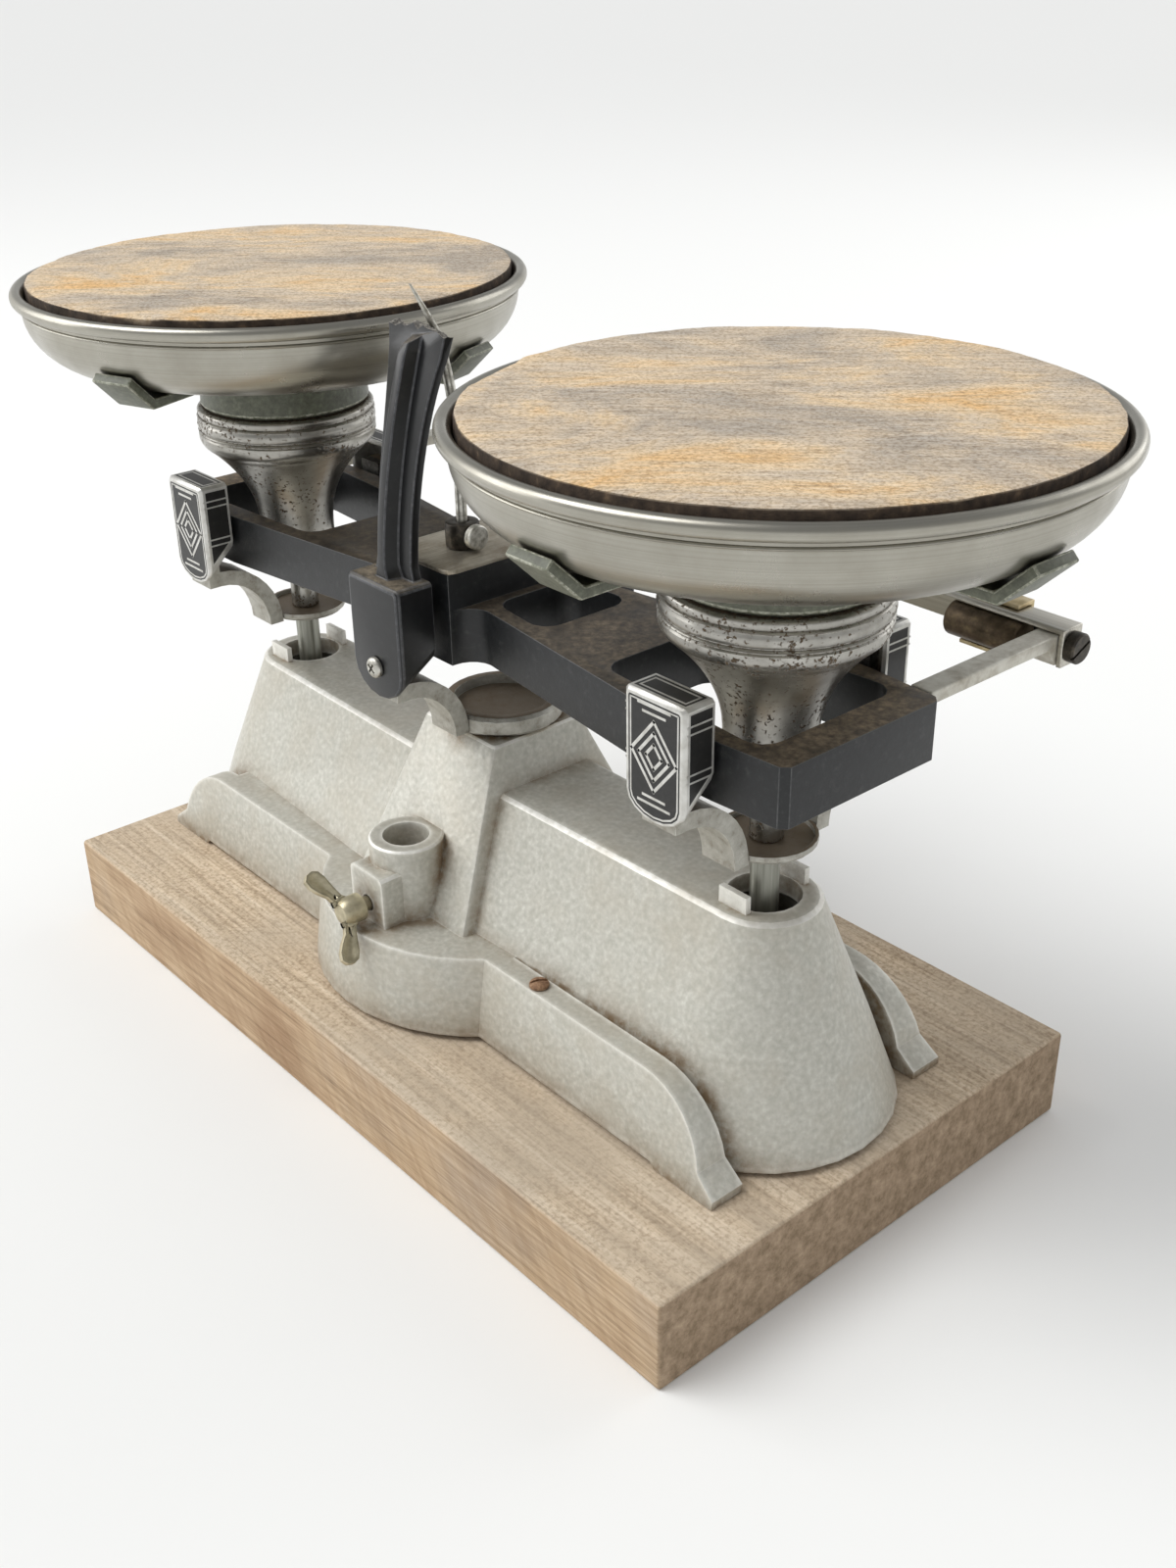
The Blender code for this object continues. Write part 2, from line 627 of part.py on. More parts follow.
def opening(low, high, side):
    """A rounded opening between two places along the beam, one rail's width inside its edge."""
    points = [(low, -rail_half(low) + RAIL_WIDTH), (high, -rail_half(high) + RAIL_WIDTH),
              (high, rail_half(high) - RAIL_WIDTH), (low, rail_half(low) - RAIL_WIDTH)]
    outline = rounded(points, OPENING_CORNER, 4)
    if side < 0:
        outline = mirrored(outline)

    def build(bm):
        slab_into(bm, outline, BEAM_BOTTOM - OVERRUN, BEAM_TOP + OVERRUN)
    return build


def build_beam():
    """The frame, its openings and the raised hub that carries the plate and the knives."""
    bm = bmesh.new()
    slab_into(bm, beam_outline(), BEAM_BOTTOM, BEAM_TOP)
    beam = finish("beam_frame", bm, black_enamel())
    centre_start = FLARE_END - BEAM_FLARE / 2
    spans = [(PAN_REACH - PAN_OPENING_INSET, BEAM_END - END_BAR),
             (centre_start, centre_start + CENTRE_OPENING_LENGTH)]
    cutter = helper("beam_openings", [opening(low, high, side) for low, high in spans for side in (-1, 1)])
    modify(beam, cutter, "DIFFERENCE")
    hub = helper("beam_hub", [lambda b: box_into(
        b, (-HUB_HALF_LENGTH, -HUB_HALF_WIDTH, BEAM_BOTTOM + BEAM_HEIGHT / 2),
        (HUB_HALF_LENGTH, HUB_HALF_WIDTH, HUB_TOP))])
    modify(beam, hub, "UNION")


# Knife edges: the centre pair points down, the pan pairs point up. Each is a steel prism.
KNIFE_HALF_WIDTH = 3.3 * MM
KNIFE_HEIGHT = 6.0 * MM
BEARING_HALF_WIDTH = 5.0 * MM
NOTCH_HALF_ANGLE = radians(62)
PAN_BEARING_HEIGHT = 9.0 * MM
CENTRE_BEARING_HEIGHT = 10.7 * MM
CENTRE_NOTCH_DEPTH = 2.4 * MM


def build_knife(name, x, near, far, up):
    """A triangular prism along Y whose edge lies on the knife line."""
    outline = [(x, KNIFE_Z), (x - KNIFE_HALF_WIDTH, KNIFE_Z - up * KNIFE_HEIGHT),
               (x + KNIFE_HALF_WIDTH, KNIFE_Z - up * KNIFE_HEIGHT)]
    bm = bmesh.new()
    slab_into(bm, outline, near, far, "Y")
    finish(name, bm, bright_steel())


def build_bearing(name, x, near, far, up):
    """A block with a notch that faces the knife edge."""
    notch = KNIFE_Z + up * FIT
    depth = CENTRE_NOTCH_DEPTH
    wide = depth * sin(NOTCH_HALF_ANGLE) / cos(NOTCH_HALF_ANGLE)
    mouth = notch - up * depth
    back = notch + up * (PAN_BEARING_HEIGHT if up > 0 else CENTRE_BEARING_HEIGHT)
    outline = [(x - BEARING_HALF_WIDTH, mouth), (x - wide, mouth), (x, notch), (x + wide, mouth),
               (x + BEARING_HALF_WIDTH, mouth), (x + BEARING_HALF_WIDTH, back),
               (x - BEARING_HALF_WIDTH, back)]
    bm = bmesh.new()
    slab_into(bm, outline, near, far, "Y")
    finish(name, bm, dark_steel())


# The bearing covers: end ones on the pan carriers, black ones on the centre yoke.
END_COVER_GAP = 1.1 * MM
END_COVER_DEPTH = 9.8 * MM
END_COVER_HALF_WIDTH = 10.6 * MM
END_COVER_RISE = 17.5 * MM
END_COVER_DROP = 16.8 * MM
END_COVER_SAGITTA = 6.0 * MM
END_COVER_SLANT = 9.1 * MM
END_COVER_WALL = 1.5 * MM
CENTRE_COVER_GAP = 4.7 * MM
CENTRE_COVER_DEPTH = 12.3 * MM
CENTRE_COVER_HALF_WIDTH = 12.15 * MM
CENTRE_COVER_RISE = 15.8 * MM
CENTRE_COVER_DROP = 20.0 * MM
CENTRE_COVER_SAGITTA = 9.0 * MM
CENTRE_COVER_SLANT = 8.0 * MM
CENTRE_COVER_WALL = 1.8 * MM
COVER_EDGE = 0.9 * MM
POST_THICKNESS = 4.2 * MM

END_COVER_BACK = BEAM_HALF_WIDTH + END_COVER_GAP
END_COVER_FRONT = END_COVER_BACK + END_COVER_DEPTH
END_POST_FRONT = END_COVER_FRONT - END_COVER_WALL - FIT
END_POST_BACK = END_POST_FRONT - POST_THICKNESS
CENTRE_COVER_BACK = HUB_HALF_WIDTH + CENTRE_COVER_GAP
CENTRE_COVER_FRONT = CENTRE_COVER_BACK + CENTRE_COVER_DEPTH
CENTRE_POST_FRONT = CENTRE_COVER_FRONT - CENTRE_COVER_WALL - FIT
CENTRE_POST_BACK = CENTRE_POST_FRONT - POST_THICKNESS


def cover_outline(half_width, top, bottom, sagitta, edge):
    """Front of a cover: straight sides, a chamfered top and a round bottom."""
    steps = 8
    lower = [(half_width * cos(a), bottom + sagitta - sagitta * sin(a))
             for a in [pi * i / steps for i in range(steps + 1)]]
    return lower + [(-half_width, top - edge), (-half_width + edge, top),
                    (half_width - edge, top), (half_width, top - edge)]


def cover_into(bm, x, side, back, front, sizes):
    """A cover block: its front face is bevelled and its underside slants up to the back."""
    half_width, rise, drop, sagitta, slant = sizes
    top = KNIFE_Z + rise
    rings = []
    for y, inset, lift in ((back, 0.0, slant), (front - COVER_EDGE, 0.0, slant * COVER_EDGE / (front - back)),
                           (front, COVER_EDGE, 0.0)):
        outline = cover_outline(half_width - inset, top - inset, KNIFE_Z - drop + lift + inset / 2,
                                sagitta, COVER_EDGE)
        rings.append([Vector((x + u, side * y, v)) for u, v in outline])
    skin(bm, rings)


def build_cover(name, surface, x, side, back, front, sizes, wall):
    """One cover, hollow and open at its back and underside."""
    half_width, rise, drop, _, _ = sizes
    bm = bmesh.new()
    cover_into(bm, x, side, back, front, sizes)
    cover = finish(name, bm, surface)
    low_y, high_y = sorted((side * (back - OVERRUN), side * (front - wall)))
    cavity = helper(name + "_cavity", [lambda b: box_into(
        b, (x - half_width + wall, low_y, KNIFE_Z - drop - OVERRUN),
        (x + half_width - wall, high_y, KNIFE_Z + rise - wall))])
    modify(cover, cavity, "DIFFERENCE")
    return cover


END_COVER_SIZES = (END_COVER_HALF_WIDTH, END_COVER_RISE, END_COVER_DROP, END_COVER_SAGITTA, END_COVER_SLANT)
CENTRE_COVER_SIZES = (CENTRE_COVER_HALF_WIDTH, CENTRE_COVER_RISE, CENTRE_COVER_DROP,
                      CENTRE_COVER_SAGITTA, CENTRE_COVER_SLANT)

# The broken index pillar that is moulded on the front cover: a flange with a rib down its front.
PILLAR_HEIGHT = 66.0 * MM
PILLAR_LEAN = 13.0 * MM
PILLAR_SETBACK = 8.0 * MM
PILLAR_HALF_WIDTH = 8.0 * MM
PILLAR_TOP_HALF_WIDTH = 13.0 * MM
PILLAR_FLANGE = 3.0 * MM
PILLAR_RIB_HALF_WIDTH = 1.6 * MM
PILLAR_RIB_DEPTH = 4.4 * MM
PILLAR_HORN = 4.0 * MM


def pillar_section(share):
    """Outline of the T section at a share of the pillar's height, as (x, y) points."""
    flare = max(0.0, 1 - share / 0.09) ** 2
    half = PILLAR_HALF_WIDTH + (PILLAR_TOP_HALF_WIDTH - PILLAR_HALF_WIDTH) * share ** 4
    half += flare * PILLAR_FLANGE / 2
    front = -(CENTRE_COVER_FRONT - PILLAR_SETBACK) + PILLAR_LEAN * share ** 1.7
    rib = PILLAR_RIB_HALF_WIDTH * (1 + flare)
    depth = PILLAR_RIB_DEPTH
    return [(-half, front), (-rib * 1.5, front), (-rib, front - depth), (rib, front - depth),
            (rib * 1.5, front), (half, front), (half, front + PILLAR_FLANGE), (-half, front + PILLAR_FLANGE)]


def pillar_into(bm):
    """Loft of the T sections; the last one is uneven, as the top is broken off."""
    foot = KNIFE_Z + CENTRE_COVER_RISE - CENTRE_COVER_WALL / 2
    horn_shares = [1.0, -0.2, -0.6, -0.4, 0.0, 0.8, 0.5, 0.6]
    rings = []
    steps = 14
    for i in range(steps + 1):
        share = i / steps
        height = foot + PILLAR_HEIGHT * share
        ring = []
        for (x, y), horn in zip(pillar_section(share), horn_shares):
            lift = PILLAR_HORN * horn if i == steps else 0.0
            ring.append(Vector((x, y, height + lift)))
        rings.append(ring)
    skin(bm, rings)


# Cover screws with a domed head.
COVER_SCREW_RADIUS = 3.1 * MM
COVER_SCREW_HEIGHT = 1.9 * MM
COVER_SCREW_DROP = 10.0 * MM


def build_cover_screws():
    z = KNIFE_Z - COVER_SCREW_DROP
    for side_name, side in SIDES:
        near = side * (CENTRE_COVER_FRONT + FIT)
        middle = near + side * COVER_SCREW_HEIGHT / 2
        far = near + side * COVER_SCREW_HEIGHT
        rings = []
        for y, size in ((near, COVER_SCREW_RADIUS), (middle, COVER_SCREW_RADIUS * 0.92),
                        (far, COVER_SCREW_RADIUS * 0.5)):
            rings.append([Vector((size * cos(2 * pi * i / 16), y, z + size * sin(2 * pi * i / 16)))
                          for i in range(16)])
        bm = bmesh.new()
        skin(bm, rings)
        finish(side_name + "_cover_screw", bm, bright_steel())


# Goosenecks: curved arms that rise from a shallow tray and carry the posts behind the covers.
NECK_WIDTH = 12.0 * MM
NECK_THICKNESS = 5.0 * MM
NECK_STEPS = 9
TRAY_RADIUS = 13.8 * MM
TRAY_RIM = 1.1 * MM
TRAY_FLOOR = 1.4 * MM
TRAY_HEIGHT = 2.6 * MM
STOP_GAP = 11.0 * MM
YOKE_RADIUS = 18.5 * MM
YOKE_HEIGHT = 6.0 * MM
YOKE_RIM = 3.5 * MM
YOKE_FLOOR = 3.0 * MM
NECK_OVERLAP = 1.0 * MM

TRAY_BOTTOM = TOWER_TOP + STOP_HEIGHT + STOP_GAP
YOKE_BOTTOM = COLUMN_TOP + FIT


def neck_outline(start, end, post_back, post_front, post_top):
    """Side view of one arm and its post, for a quarter turn from upright to level."""
    half = NECK_THICKNESS / 2
    span, rise = end[0] - start[0], end[1] - start[1]
    lower, upper = [], []
    for i in range(NECK_STEPS + 1):
        turn = pi / 2 * i / NECK_STEPS
        y = start[0] + span * (1 - cos(turn))
        z = start[1] + rise * sin(turn)
        slope = Vector((span * sin(turn), rise * cos(turn))).normalized()
        lower.append((y + slope.y * half, z - slope.x * half))
        upper.append((y - slope.y * half, z + slope.x * half))
    return (lower + [(post_front, end[1] - half), (post_front, post_top), (post_back, post_top),
                     (post_back, end[1] + half)] + list(reversed(upper)))


def neck_pair(x, start, end, post_back, post_front, post_top):
    """Builders for the front and the rear arm."""
    outline = neck_outline(start, end, post_back, post_front, post_top)
    rear = lambda b: slab_into(b, outline, x - NECK_WIDTH / 2, x + NECK_WIDTH / 2, "X")
    front = lambda b: slab_into(b, mirrored(outline), x - NECK_WIDTH / 2, x + NECK_WIDTH / 2, "X")
    return [rear, front]


def build_bow(name, x):
    """A pan carrier's casting: the tray, two goosenecks and the posts behind the end covers."""
    bm = bmesh.new()
    inside = TRAY_RADIUS - TRAY_RIM
    top = TRAY_BOTTOM + TRAY_HEIGHT
    turn_into(bm, [(inside, TRAY_BOTTOM), (TRAY_RADIUS, TRAY_BOTTOM + TRAY_RIM), (TRAY_RADIUS, top),
                   (inside, top), (inside, TRAY_BOTTOM + TRAY_FLOOR)], 28, (x, 0.0))
    bow = finish(name, bm, grey_casting())
    start = (TRAY_RADIUS + NECK_THICKNESS / 2 - NECK_OVERLAP, TRAY_BOTTOM)
    end = (END_POST_BACK, KNIFE_Z - END_COVER_DROP + NECK_OVERLAP)
    post_top = KNIFE_Z + PAN_BEARING_HEIGHT
    necks = helper(name + "_necks", neck_pair(x, start, end, END_POST_BACK, END_POST_FRONT, post_top))
    modify(bow, necks, "UNION")
    return bow


def build_centre_yoke():
    """The fixed casting on the column: a deep cup with two goosenecks to the centre bearings."""
    bm = bmesh.new()
    top = YOKE_BOTTOM + YOKE_HEIGHT
    turn_into(bm, [(YOKE_RADIUS - NECK_OVERLAP, YOKE_BOTTOM), (YOKE_RADIUS, YOKE_BOTTOM + NECK_OVERLAP),
                   (YOKE_RADIUS, top - NECK_OVERLAP), (YOKE_RADIUS - NECK_OVERLAP, top),
                   (YOKE_RADIUS - YOKE_RIM, top), (YOKE_RADIUS - YOKE_RIM, YOKE_BOTTOM + YOKE_FLOOR)], 32)
    yoke = finish("centre_yoke", bm, grey_casting())
    start = (YOKE_RADIUS + NECK_THICKNESS / 2 - NECK_OVERLAP, YOKE_BOTTOM + NECK_OVERLAP)
    end = (CENTRE_POST_BACK, KNIFE_Z - CENTRE_COVER_DROP + NECK_OVERLAP * 2)
    post_top = KNIFE_Z + CENTRE_NOTCH_DEPTH
    necks = helper("centre_yoke_necks",
                   neck_pair(0.0, start, end, CENTRE_POST_BACK, CENTRE_POST_FRONT, post_top))
    modify(yoke, necks, "UNION")


def build_centre_pieces():
    """Bearings, knives and covers at the fulcrum."""
    for side_name, side in SIDES:
        post = side * (CENTRE_POST_BACK - FIT)
        build_bearing(side_name + "_centre_bearing", 0.0, side * (CENTRE_COVER_BACK + FIT), post, -1)
        build_knife(side_name + "_centre_knife_edge", 0.0, side * (HUB_HALF_WIDTH + FIT), post, -1)
    front = build_cover("front_centre_cover", black_plastic(), 0.0, -1, CENTRE_COVER_BACK, CENTRE_COVER_FRONT,
                        CENTRE_COVER_SIZES, CENTRE_COVER_WALL)
    modify(front, helper("index_pillar", [pillar_into]), "UNION")
    build_cover("rear_centre_cover", black_plastic(), 0.0, 1, CENTRE_COVER_BACK, CENTRE_COVER_FRONT,
                CENTRE_COVER_SIZES, CENTRE_COVER_WALL)


# The pan column: a turned and plated trumpet on a stem that stands on the bow's tray.
STEM_RADIUS = 4.6 * MM
STEM_TOP_DROP = 10.0 * MM
COLUMN_NECK_RADIUS = 12.4 * MM
COLUMN_HEAD_RADIUS = 29.5 * MM
COLUMN_HEAD_HEIGHT = 14.0 * MM
COLUMN_FLARE_START = 5.0 * MM


def trumpet_profile():
    """(radius, height) from the stem's foot on the tray up to the ringed head."""
    foot = TRAY_BOTTOM + TRAY_FLOOR + FIT
    shoulder = KNIFE_Z - STEM_TOP_DROP
    base = KNIFE_Z - COLUMN_FLARE_START
    head = HEAD_TOP - COLUMN_HEAD_HEIGHT
    profile = [(STEM_RADIUS, foot), (STEM_RADIUS, shoulder), (COLUMN_NECK_RADIUS, shoulder),
               (COLUMN_NECK_RADIUS, base)]
    # The flare opens faster and faster from the waist up to the head.
    flare_shares = [(0.015, 0.25), (0.06, 0.36), (0.15, 0.47), (0.27, 0.58), (0.41, 0.70), (0.57, 0.83),
                    (0.72, 0.95)]
    for out, up in flare_shares:
        profile.append((COLUMN_NECK_RADIUS + (COLUMN_HEAD_RADIUS - COLUMN_NECK_RADIUS) * out,
                        base + (head - base) * up))
    # Three bands with grooves between them; the lowest curves in under the head to meet the flare.
    band_shares = [(0.085, 0.0), (0.045, 0.08), (0.015, 0.22), (0.0, 0.38), (0.025, 0.43), (0.0, 0.48),
                   (0.0, 0.72), (0.025, 0.77), (0.005, 0.82), (0.01, 0.95), (0.04, 1.0)]
    for inward, up in band_shares:
        profile.append((COLUMN_HEAD_RADIUS * (1 - inward), head + COLUMN_HEAD_HEIGHT * up))
    return profile


# The dish: a spun aluminium tray with a rolled rim, and the round wooden plate that lies in it.
DISH_RADIUS = 81.5 * MM
DISH_DEPTH = 21.7 * MM
DISH_ROLL = 2.1 * MM
DISH_FLAT_RADIUS = 58.4 * MM
DISH_WALL = 1.2 * MM
DISH_BEAD = 0.5 * MM
DISC_RISE = 3.9 * MM
DISC_EDGE = 0.5 * MM

# The spider: a painted collar with four arms whose tips turn up and hold the dish.
COLLAR_RADIUS = 26.6 * MM
COLLAR_HEIGHT = 14.1 * MM
COLLAR_BULGE = 1.1 * MM
SPIDER_THICKNESS = 3.0 * MM
SPIDER_WIDTH = 14.0 * MM
SPIDER_BEND_GAP = 9.0 * MM
SPIDER_TIP_RISE = 8.4 * MM
SPIDER_SEAT = 0.8 * MM
LEFT_SPIDER_TURN = radians(20)

COLLAR_BOTTOM = HEAD_TOP + FIT
SPIDER_BOTTOM = COLLAR_BOTTOM + COLLAR_HEIGHT
SPIDER_TOP = SPIDER_BOTTOM + SPIDER_THICKNESS
DISH_BOTTOM = SPIDER_TOP + FIT
DISH_ROLL_Z = DISH_BOTTOM + DISH_DEPTH
DISH_ROLL_CENTRE = DISH_RADIUS - DISH_ROLL
DISH_WALL_RADIUS = DISH_ROLL_CENTRE - DISH_ROLL + DISH_WALL
DISH_CURVE_TOP = DISH_ROLL_Z - DISH_ROLL * 2
DISH_ROLL_UNDER = sqrt(DISH_ROLL ** 2 - (DISH_ROLL_CENTRE - DISH_WALL_RADIUS) ** 2)
DISH_SPAN = DISH_WALL_RADIUS - DISH_FLAT_RADIUS
DISH_RISE = DISH_CURVE_TOP - DISH_BOTTOM
DISC_RADIUS = DISH_WALL_RADIUS - DISH_WALL - FIT * 2
SPIDER_TIP_DROP = DISH_CURVE_TOP - SPIDER_TOP - SPIDER_TIP_RISE
SPIDER_TIP_RADIUS = DISH_FLAT_RADIUS + DISH_SPAN * sqrt(1 - (SPIDER_TIP_DROP / DISH_RISE) ** 2) + SPIDER_SEAT
SPIDER_BEND = DISH_FLAT_RADIUS + SPIDER_BEND_GAP
DISC_SEAT_SHARE = (DISC_RADIUS + FIT - DISH_FLAT_RADIUS) / (DISH_SPAN - DISH_WALL)
DISC_BOTTOM = DISH_CURVE_TOP - (DISH_RISE - DISH_WALL) * sqrt(1 - DISC_SEAT_SHARE ** 2)
DISC_TOP = DISH_ROLL_Z + DISC_RISE


def spider_arm(x, turn):
    """One bent strip, drawn along +X and turned about the pan's axis."""
    slope = Vector((SPIDER_TIP_RADIUS - SPIDER_BEND, SPIDER_TIP_RISE)).normalized()
    down = Vector((slope.y, -slope.x)) * SPIDER_THICKNESS
    under_bend = SPIDER_BEND + SPIDER_THICKNESS * (1 - slope.x) / slope.y
    tip_z = SPIDER_TOP + SPIDER_TIP_RISE
    outline = [(0.0, SPIDER_BOTTOM), (under_bend, SPIDER_BOTTOM),
               (SPIDER_TIP_RADIUS + down.x, tip_z + down.y),
               (SPIDER_TIP_RADIUS, tip_z), (SPIDER_BEND, SPIDER_TOP), (0.0, SPIDER_TOP)]
    swing = Matrix.Rotation(turn, 3, "Z")

    def build(bm):
        rings = []
        for half in (-SPIDER_WIDTH / 2, SPIDER_WIDTH / 2):
            rings.append([swing @ Vector((r, half, z)) + Vector((x, 0.0, 0.0)) for r, z in outline])
        skin(bm, rings)
    return build


def build_spider(name, x, turn):
    bm = bmesh.new()
    bulge = (COLLAR_RADIUS + COLLAR_BULGE, COLLAR_BOTTOM + COLLAR_BULGE)
    turn_into(bm, [(COLLAR_RADIUS, COLLAR_BOTTOM), bulge, (COLLAR_RADIUS, SPIDER_BOTTOM - SPIDER_THICKNESS),
                   (COLLAR_RADIUS - COLLAR_BULGE, SPIDER_TOP)], 32, (x, 0.0))
    spider = finish(name, bm, green_grey_paint())
    for i in range(4):
        arm = helper(name + "_arm_" + str(i + 1), [spider_arm(x, turn + pi / 2 * i)])
        modify(spider, arm, "UNION")


def dish_profile():
    """(radius, height) round the wall: up the outside, over the roll and down the inside."""
    steps = 6
    outside, inside = [], []
    for i in range(steps + 1):
        turn = pi / 2 * i / steps
        outside.append((DISH_FLAT_RADIUS + DISH_SPAN * sin(turn), DISH_CURVE_TOP - DISH_RISE * cos(turn)))
        inside.append((DISH_FLAT_RADIUS + (DISH_SPAN - DISH_WALL) * sin(turn),
                       DISH_CURVE_TOP - (DISH_RISE - DISH_WALL) * cos(turn)))
    bead = [(DISH_WALL_RADIUS + DISH_BEAD, DISH_CURVE_TOP + DISH_BEAD),
            (DISH_WALL_RADIUS, DISH_CURVE_TOP + DISH_BEAD * 2)]
    under = pi + asin(DISH_ROLL_UNDER / DISH_ROLL)
    roll = arc((DISH_ROLL_CENTRE, DISH_ROLL_Z), DISH_ROLL, under - 2 * pi, pi, 9)
    return outside + bead + roll + list(reversed(inside))


def build_pan(pan, x):
    """Everything that stands on one bow: column, spider, dish and wooden plate."""
    bm = bmesh.new()
    turn_into(bm, trumpet_profile(), 28, (x, 0.0))
    finish(pan + "_pan_column", bm, pitted_chrome())
    build_spider(pan + "_spider", x, LEFT_SPIDER_TURN if x < 0 else 0.0)
    bm = bmesh.new()
    turn_into(bm, dish_profile(), 40, (x, 0.0))
    finish(pan + "_dish", bm, satin_aluminium())
    bm = bmesh.new()
    turn_into(bm, [(DISC_RADIUS - DISC_EDGE, DISC_BOTTOM), (DISC_RADIUS, DISC_BOTTOM + DISC_EDGE),
                   (DISC_RADIUS, DISC_TOP - DISC_EDGE), (DISC_RADIUS - DISC_EDGE, DISC_TOP)], 40, (x, 0.0))
    finish(pan + "_wood_plate", bm, rough_sawn_wood())


def build_check_rod(pan, x):
    """The rod below the tray, forked at its lower end round the check link, and its pin."""
    fork_top = LINK_Z + FORK_REACH
    bm = bmesh.new()
    turn_into(bm, [(FORK_RADIUS, LINK_Z - FORK_REACH), (FORK_RADIUS, fork_top - OVERRUN / 2),
                   (CHECK_ROD_RADIUS, fork_top + OVERRUN / 2), (CHECK_ROD_RADIUS, TRAY_BOTTOM - FIT)],
              20, (x, 0.0))
    rod = finish(pan + "_check_rod", bm, bright_steel())
    slot_half = LINK_THICKNESS / 2 + FIT
    slot = helper(pan + "_fork_slot", [lambda b: box_into(
        b, (x - FORK_RADIUS - OVERRUN, -slot_half, LINK_Z - FORK_REACH - OVERRUN),
        (x + FORK_RADIUS + OVERRUN, slot_half, LINK_Z + LINK_HALF_HEIGHT + PIN_PLAY))])
    modify(rod, slot, "DIFFERENCE")
    modify(rod, helper(pan + "_fork_bore", [bore_across(x, ROD_PIN_RADIUS + FIT)]), "DIFFERENCE")
    reach = sqrt(FORK_RADIUS ** 2 - ROD_PIN_RADIUS ** 2)
    bm = bmesh.new()
    rod_into(bm, Vector((x, -reach, LINK_Z)), Vector((x, reach, LINK_Z)), ROD_PIN_RADIUS, 10)
    finish(pan + "_check_pin", bm, bright_steel())


def build_carrier(pan, x):
    """One pan carrier with its knives, bearings and covers."""
    build_bow(pan + "_bow", x)
    for side_name, side in SIDES:
        stem = pan + "_" + side_name
        post = side * (END_POST_BACK - FIT)
        build_knife(stem + "_knife_edge", x, side * (BEAM_HALF_WIDTH + FIT), post, 1)
        build_bearing(stem + "_bearing", x, side * (END_COVER_BACK + FIT), post, 1)
        build_cover(stem + "_cover", cover_metal(), x, side, END_COVER_BACK, END_COVER_FRONT,
                    END_COVER_SIZES, END_COVER_WALL)
    build_check_rod(pan, x)


# The plate on the hub, the pointer in its collar and the collar's thumb screw.
PLATE_THICKNESS = 1.3 * MM
PLATE_HALF_LENGTH = 14.6 * MM
PLATE_HALF_WIDTH = 28.5 * MM
PLATE_CORNER = 3.0 * MM
POINTER_Y = -12.0 * MM
POINTER_RADIUS = 1.6 * MM
POINTER_BEND_RISE = 36.4 * MM
POINTER_NECK_RISE = 60.4 * MM
POINTER_TIP_RISE = 75.4 * MM
POINTER_NECK_LEAN = 4.5 * MM
POINTER_TIP_LEAN = 13.0 * MM
POINTER_TIP_RADIUS = 0.35 * MM
COLLAR_RING_RADIUS = 5.0 * MM
COLLAR_RING_HEIGHT = 7.2 * MM
THUMB_HEAD_RADIUS = 3.6 * MM
THUMB_HEAD_LENGTH = 2.6 * MM

PLATE_BOTTOM = HUB_TOP + FIT
PLATE_TOP = PLATE_BOTTOM + PLATE_THICKNESS


def build_pointer_group():
    bm = bmesh.new()
    points = [(PLATE_HALF_LENGTH, -PLATE_HALF_WIDTH), (PLATE_HALF_LENGTH, PLATE_HALF_WIDTH),
              (-PLATE_HALF_LENGTH, PLATE_HALF_WIDTH), (-PLATE_HALF_LENGTH, -PLATE_HALF_WIDTH)]
    slab_into(bm, rounded(points, PLATE_CORNER, 2), PLATE_BOTTOM, PLATE_TOP)
    finish("centre_plate", bm, bright_steel())
    foot = PLATE_TOP + FIT
    collar_low, collar_high = foot, foot + COLLAR_RING_HEIGHT
    bm = bmesh.new()
    inner = POINTER_RADIUS + FIT
    ring_into(bm, [(COLLAR_RING_RADIUS, collar_low), (COLLAR_RING_RADIUS, collar_high - FIT),
                   (COLLAR_RING_RADIUS - FIT, collar_high), (inner, collar_high), (inner, collar_low)],
              20, (0.0, POINTER_Y))
    finish("pointer_collar", bm, dark_steel())
    # The needle is bent forward above a straight stem and drawn out to a point.
    path = [(0.0, foot, POINTER_RADIUS), (0.0, foot + POINTER_BEND_RISE, POINTER_RADIUS),
            (-POINTER_NECK_LEAN, foot + POINTER_NECK_RISE, POINTER_RADIUS * 0.8),
            (-POINTER_TIP_LEAN, foot + POINTER_TIP_RISE, POINTER_TIP_RADIUS)]
    bm = bmesh.new()
    rings = []
    for lean, z, size in path:
        rings.append([Vector((size * cos(2 * pi * i / 10), POINTER_Y + lean + size * sin(2 * pi * i / 10), z))
                      for i in range(10)])
    skin(bm, rings)
    finish("pointer", bm, bright_steel())
    middle_z = (collar_low + collar_high) / 2 + FIT
    start_x = COLLAR_RING_RADIUS + FIT
    bm = bmesh.new()
    rod_into(bm, Vector((start_x, POINTER_Y, middle_z)),
             Vector((start_x + THUMB_HEAD_LENGTH, POINTER_Y, middle_z)), THUMB_HEAD_RADIUS, 16)
    finish("pointer_thumb_screw", bm, bright_steel())


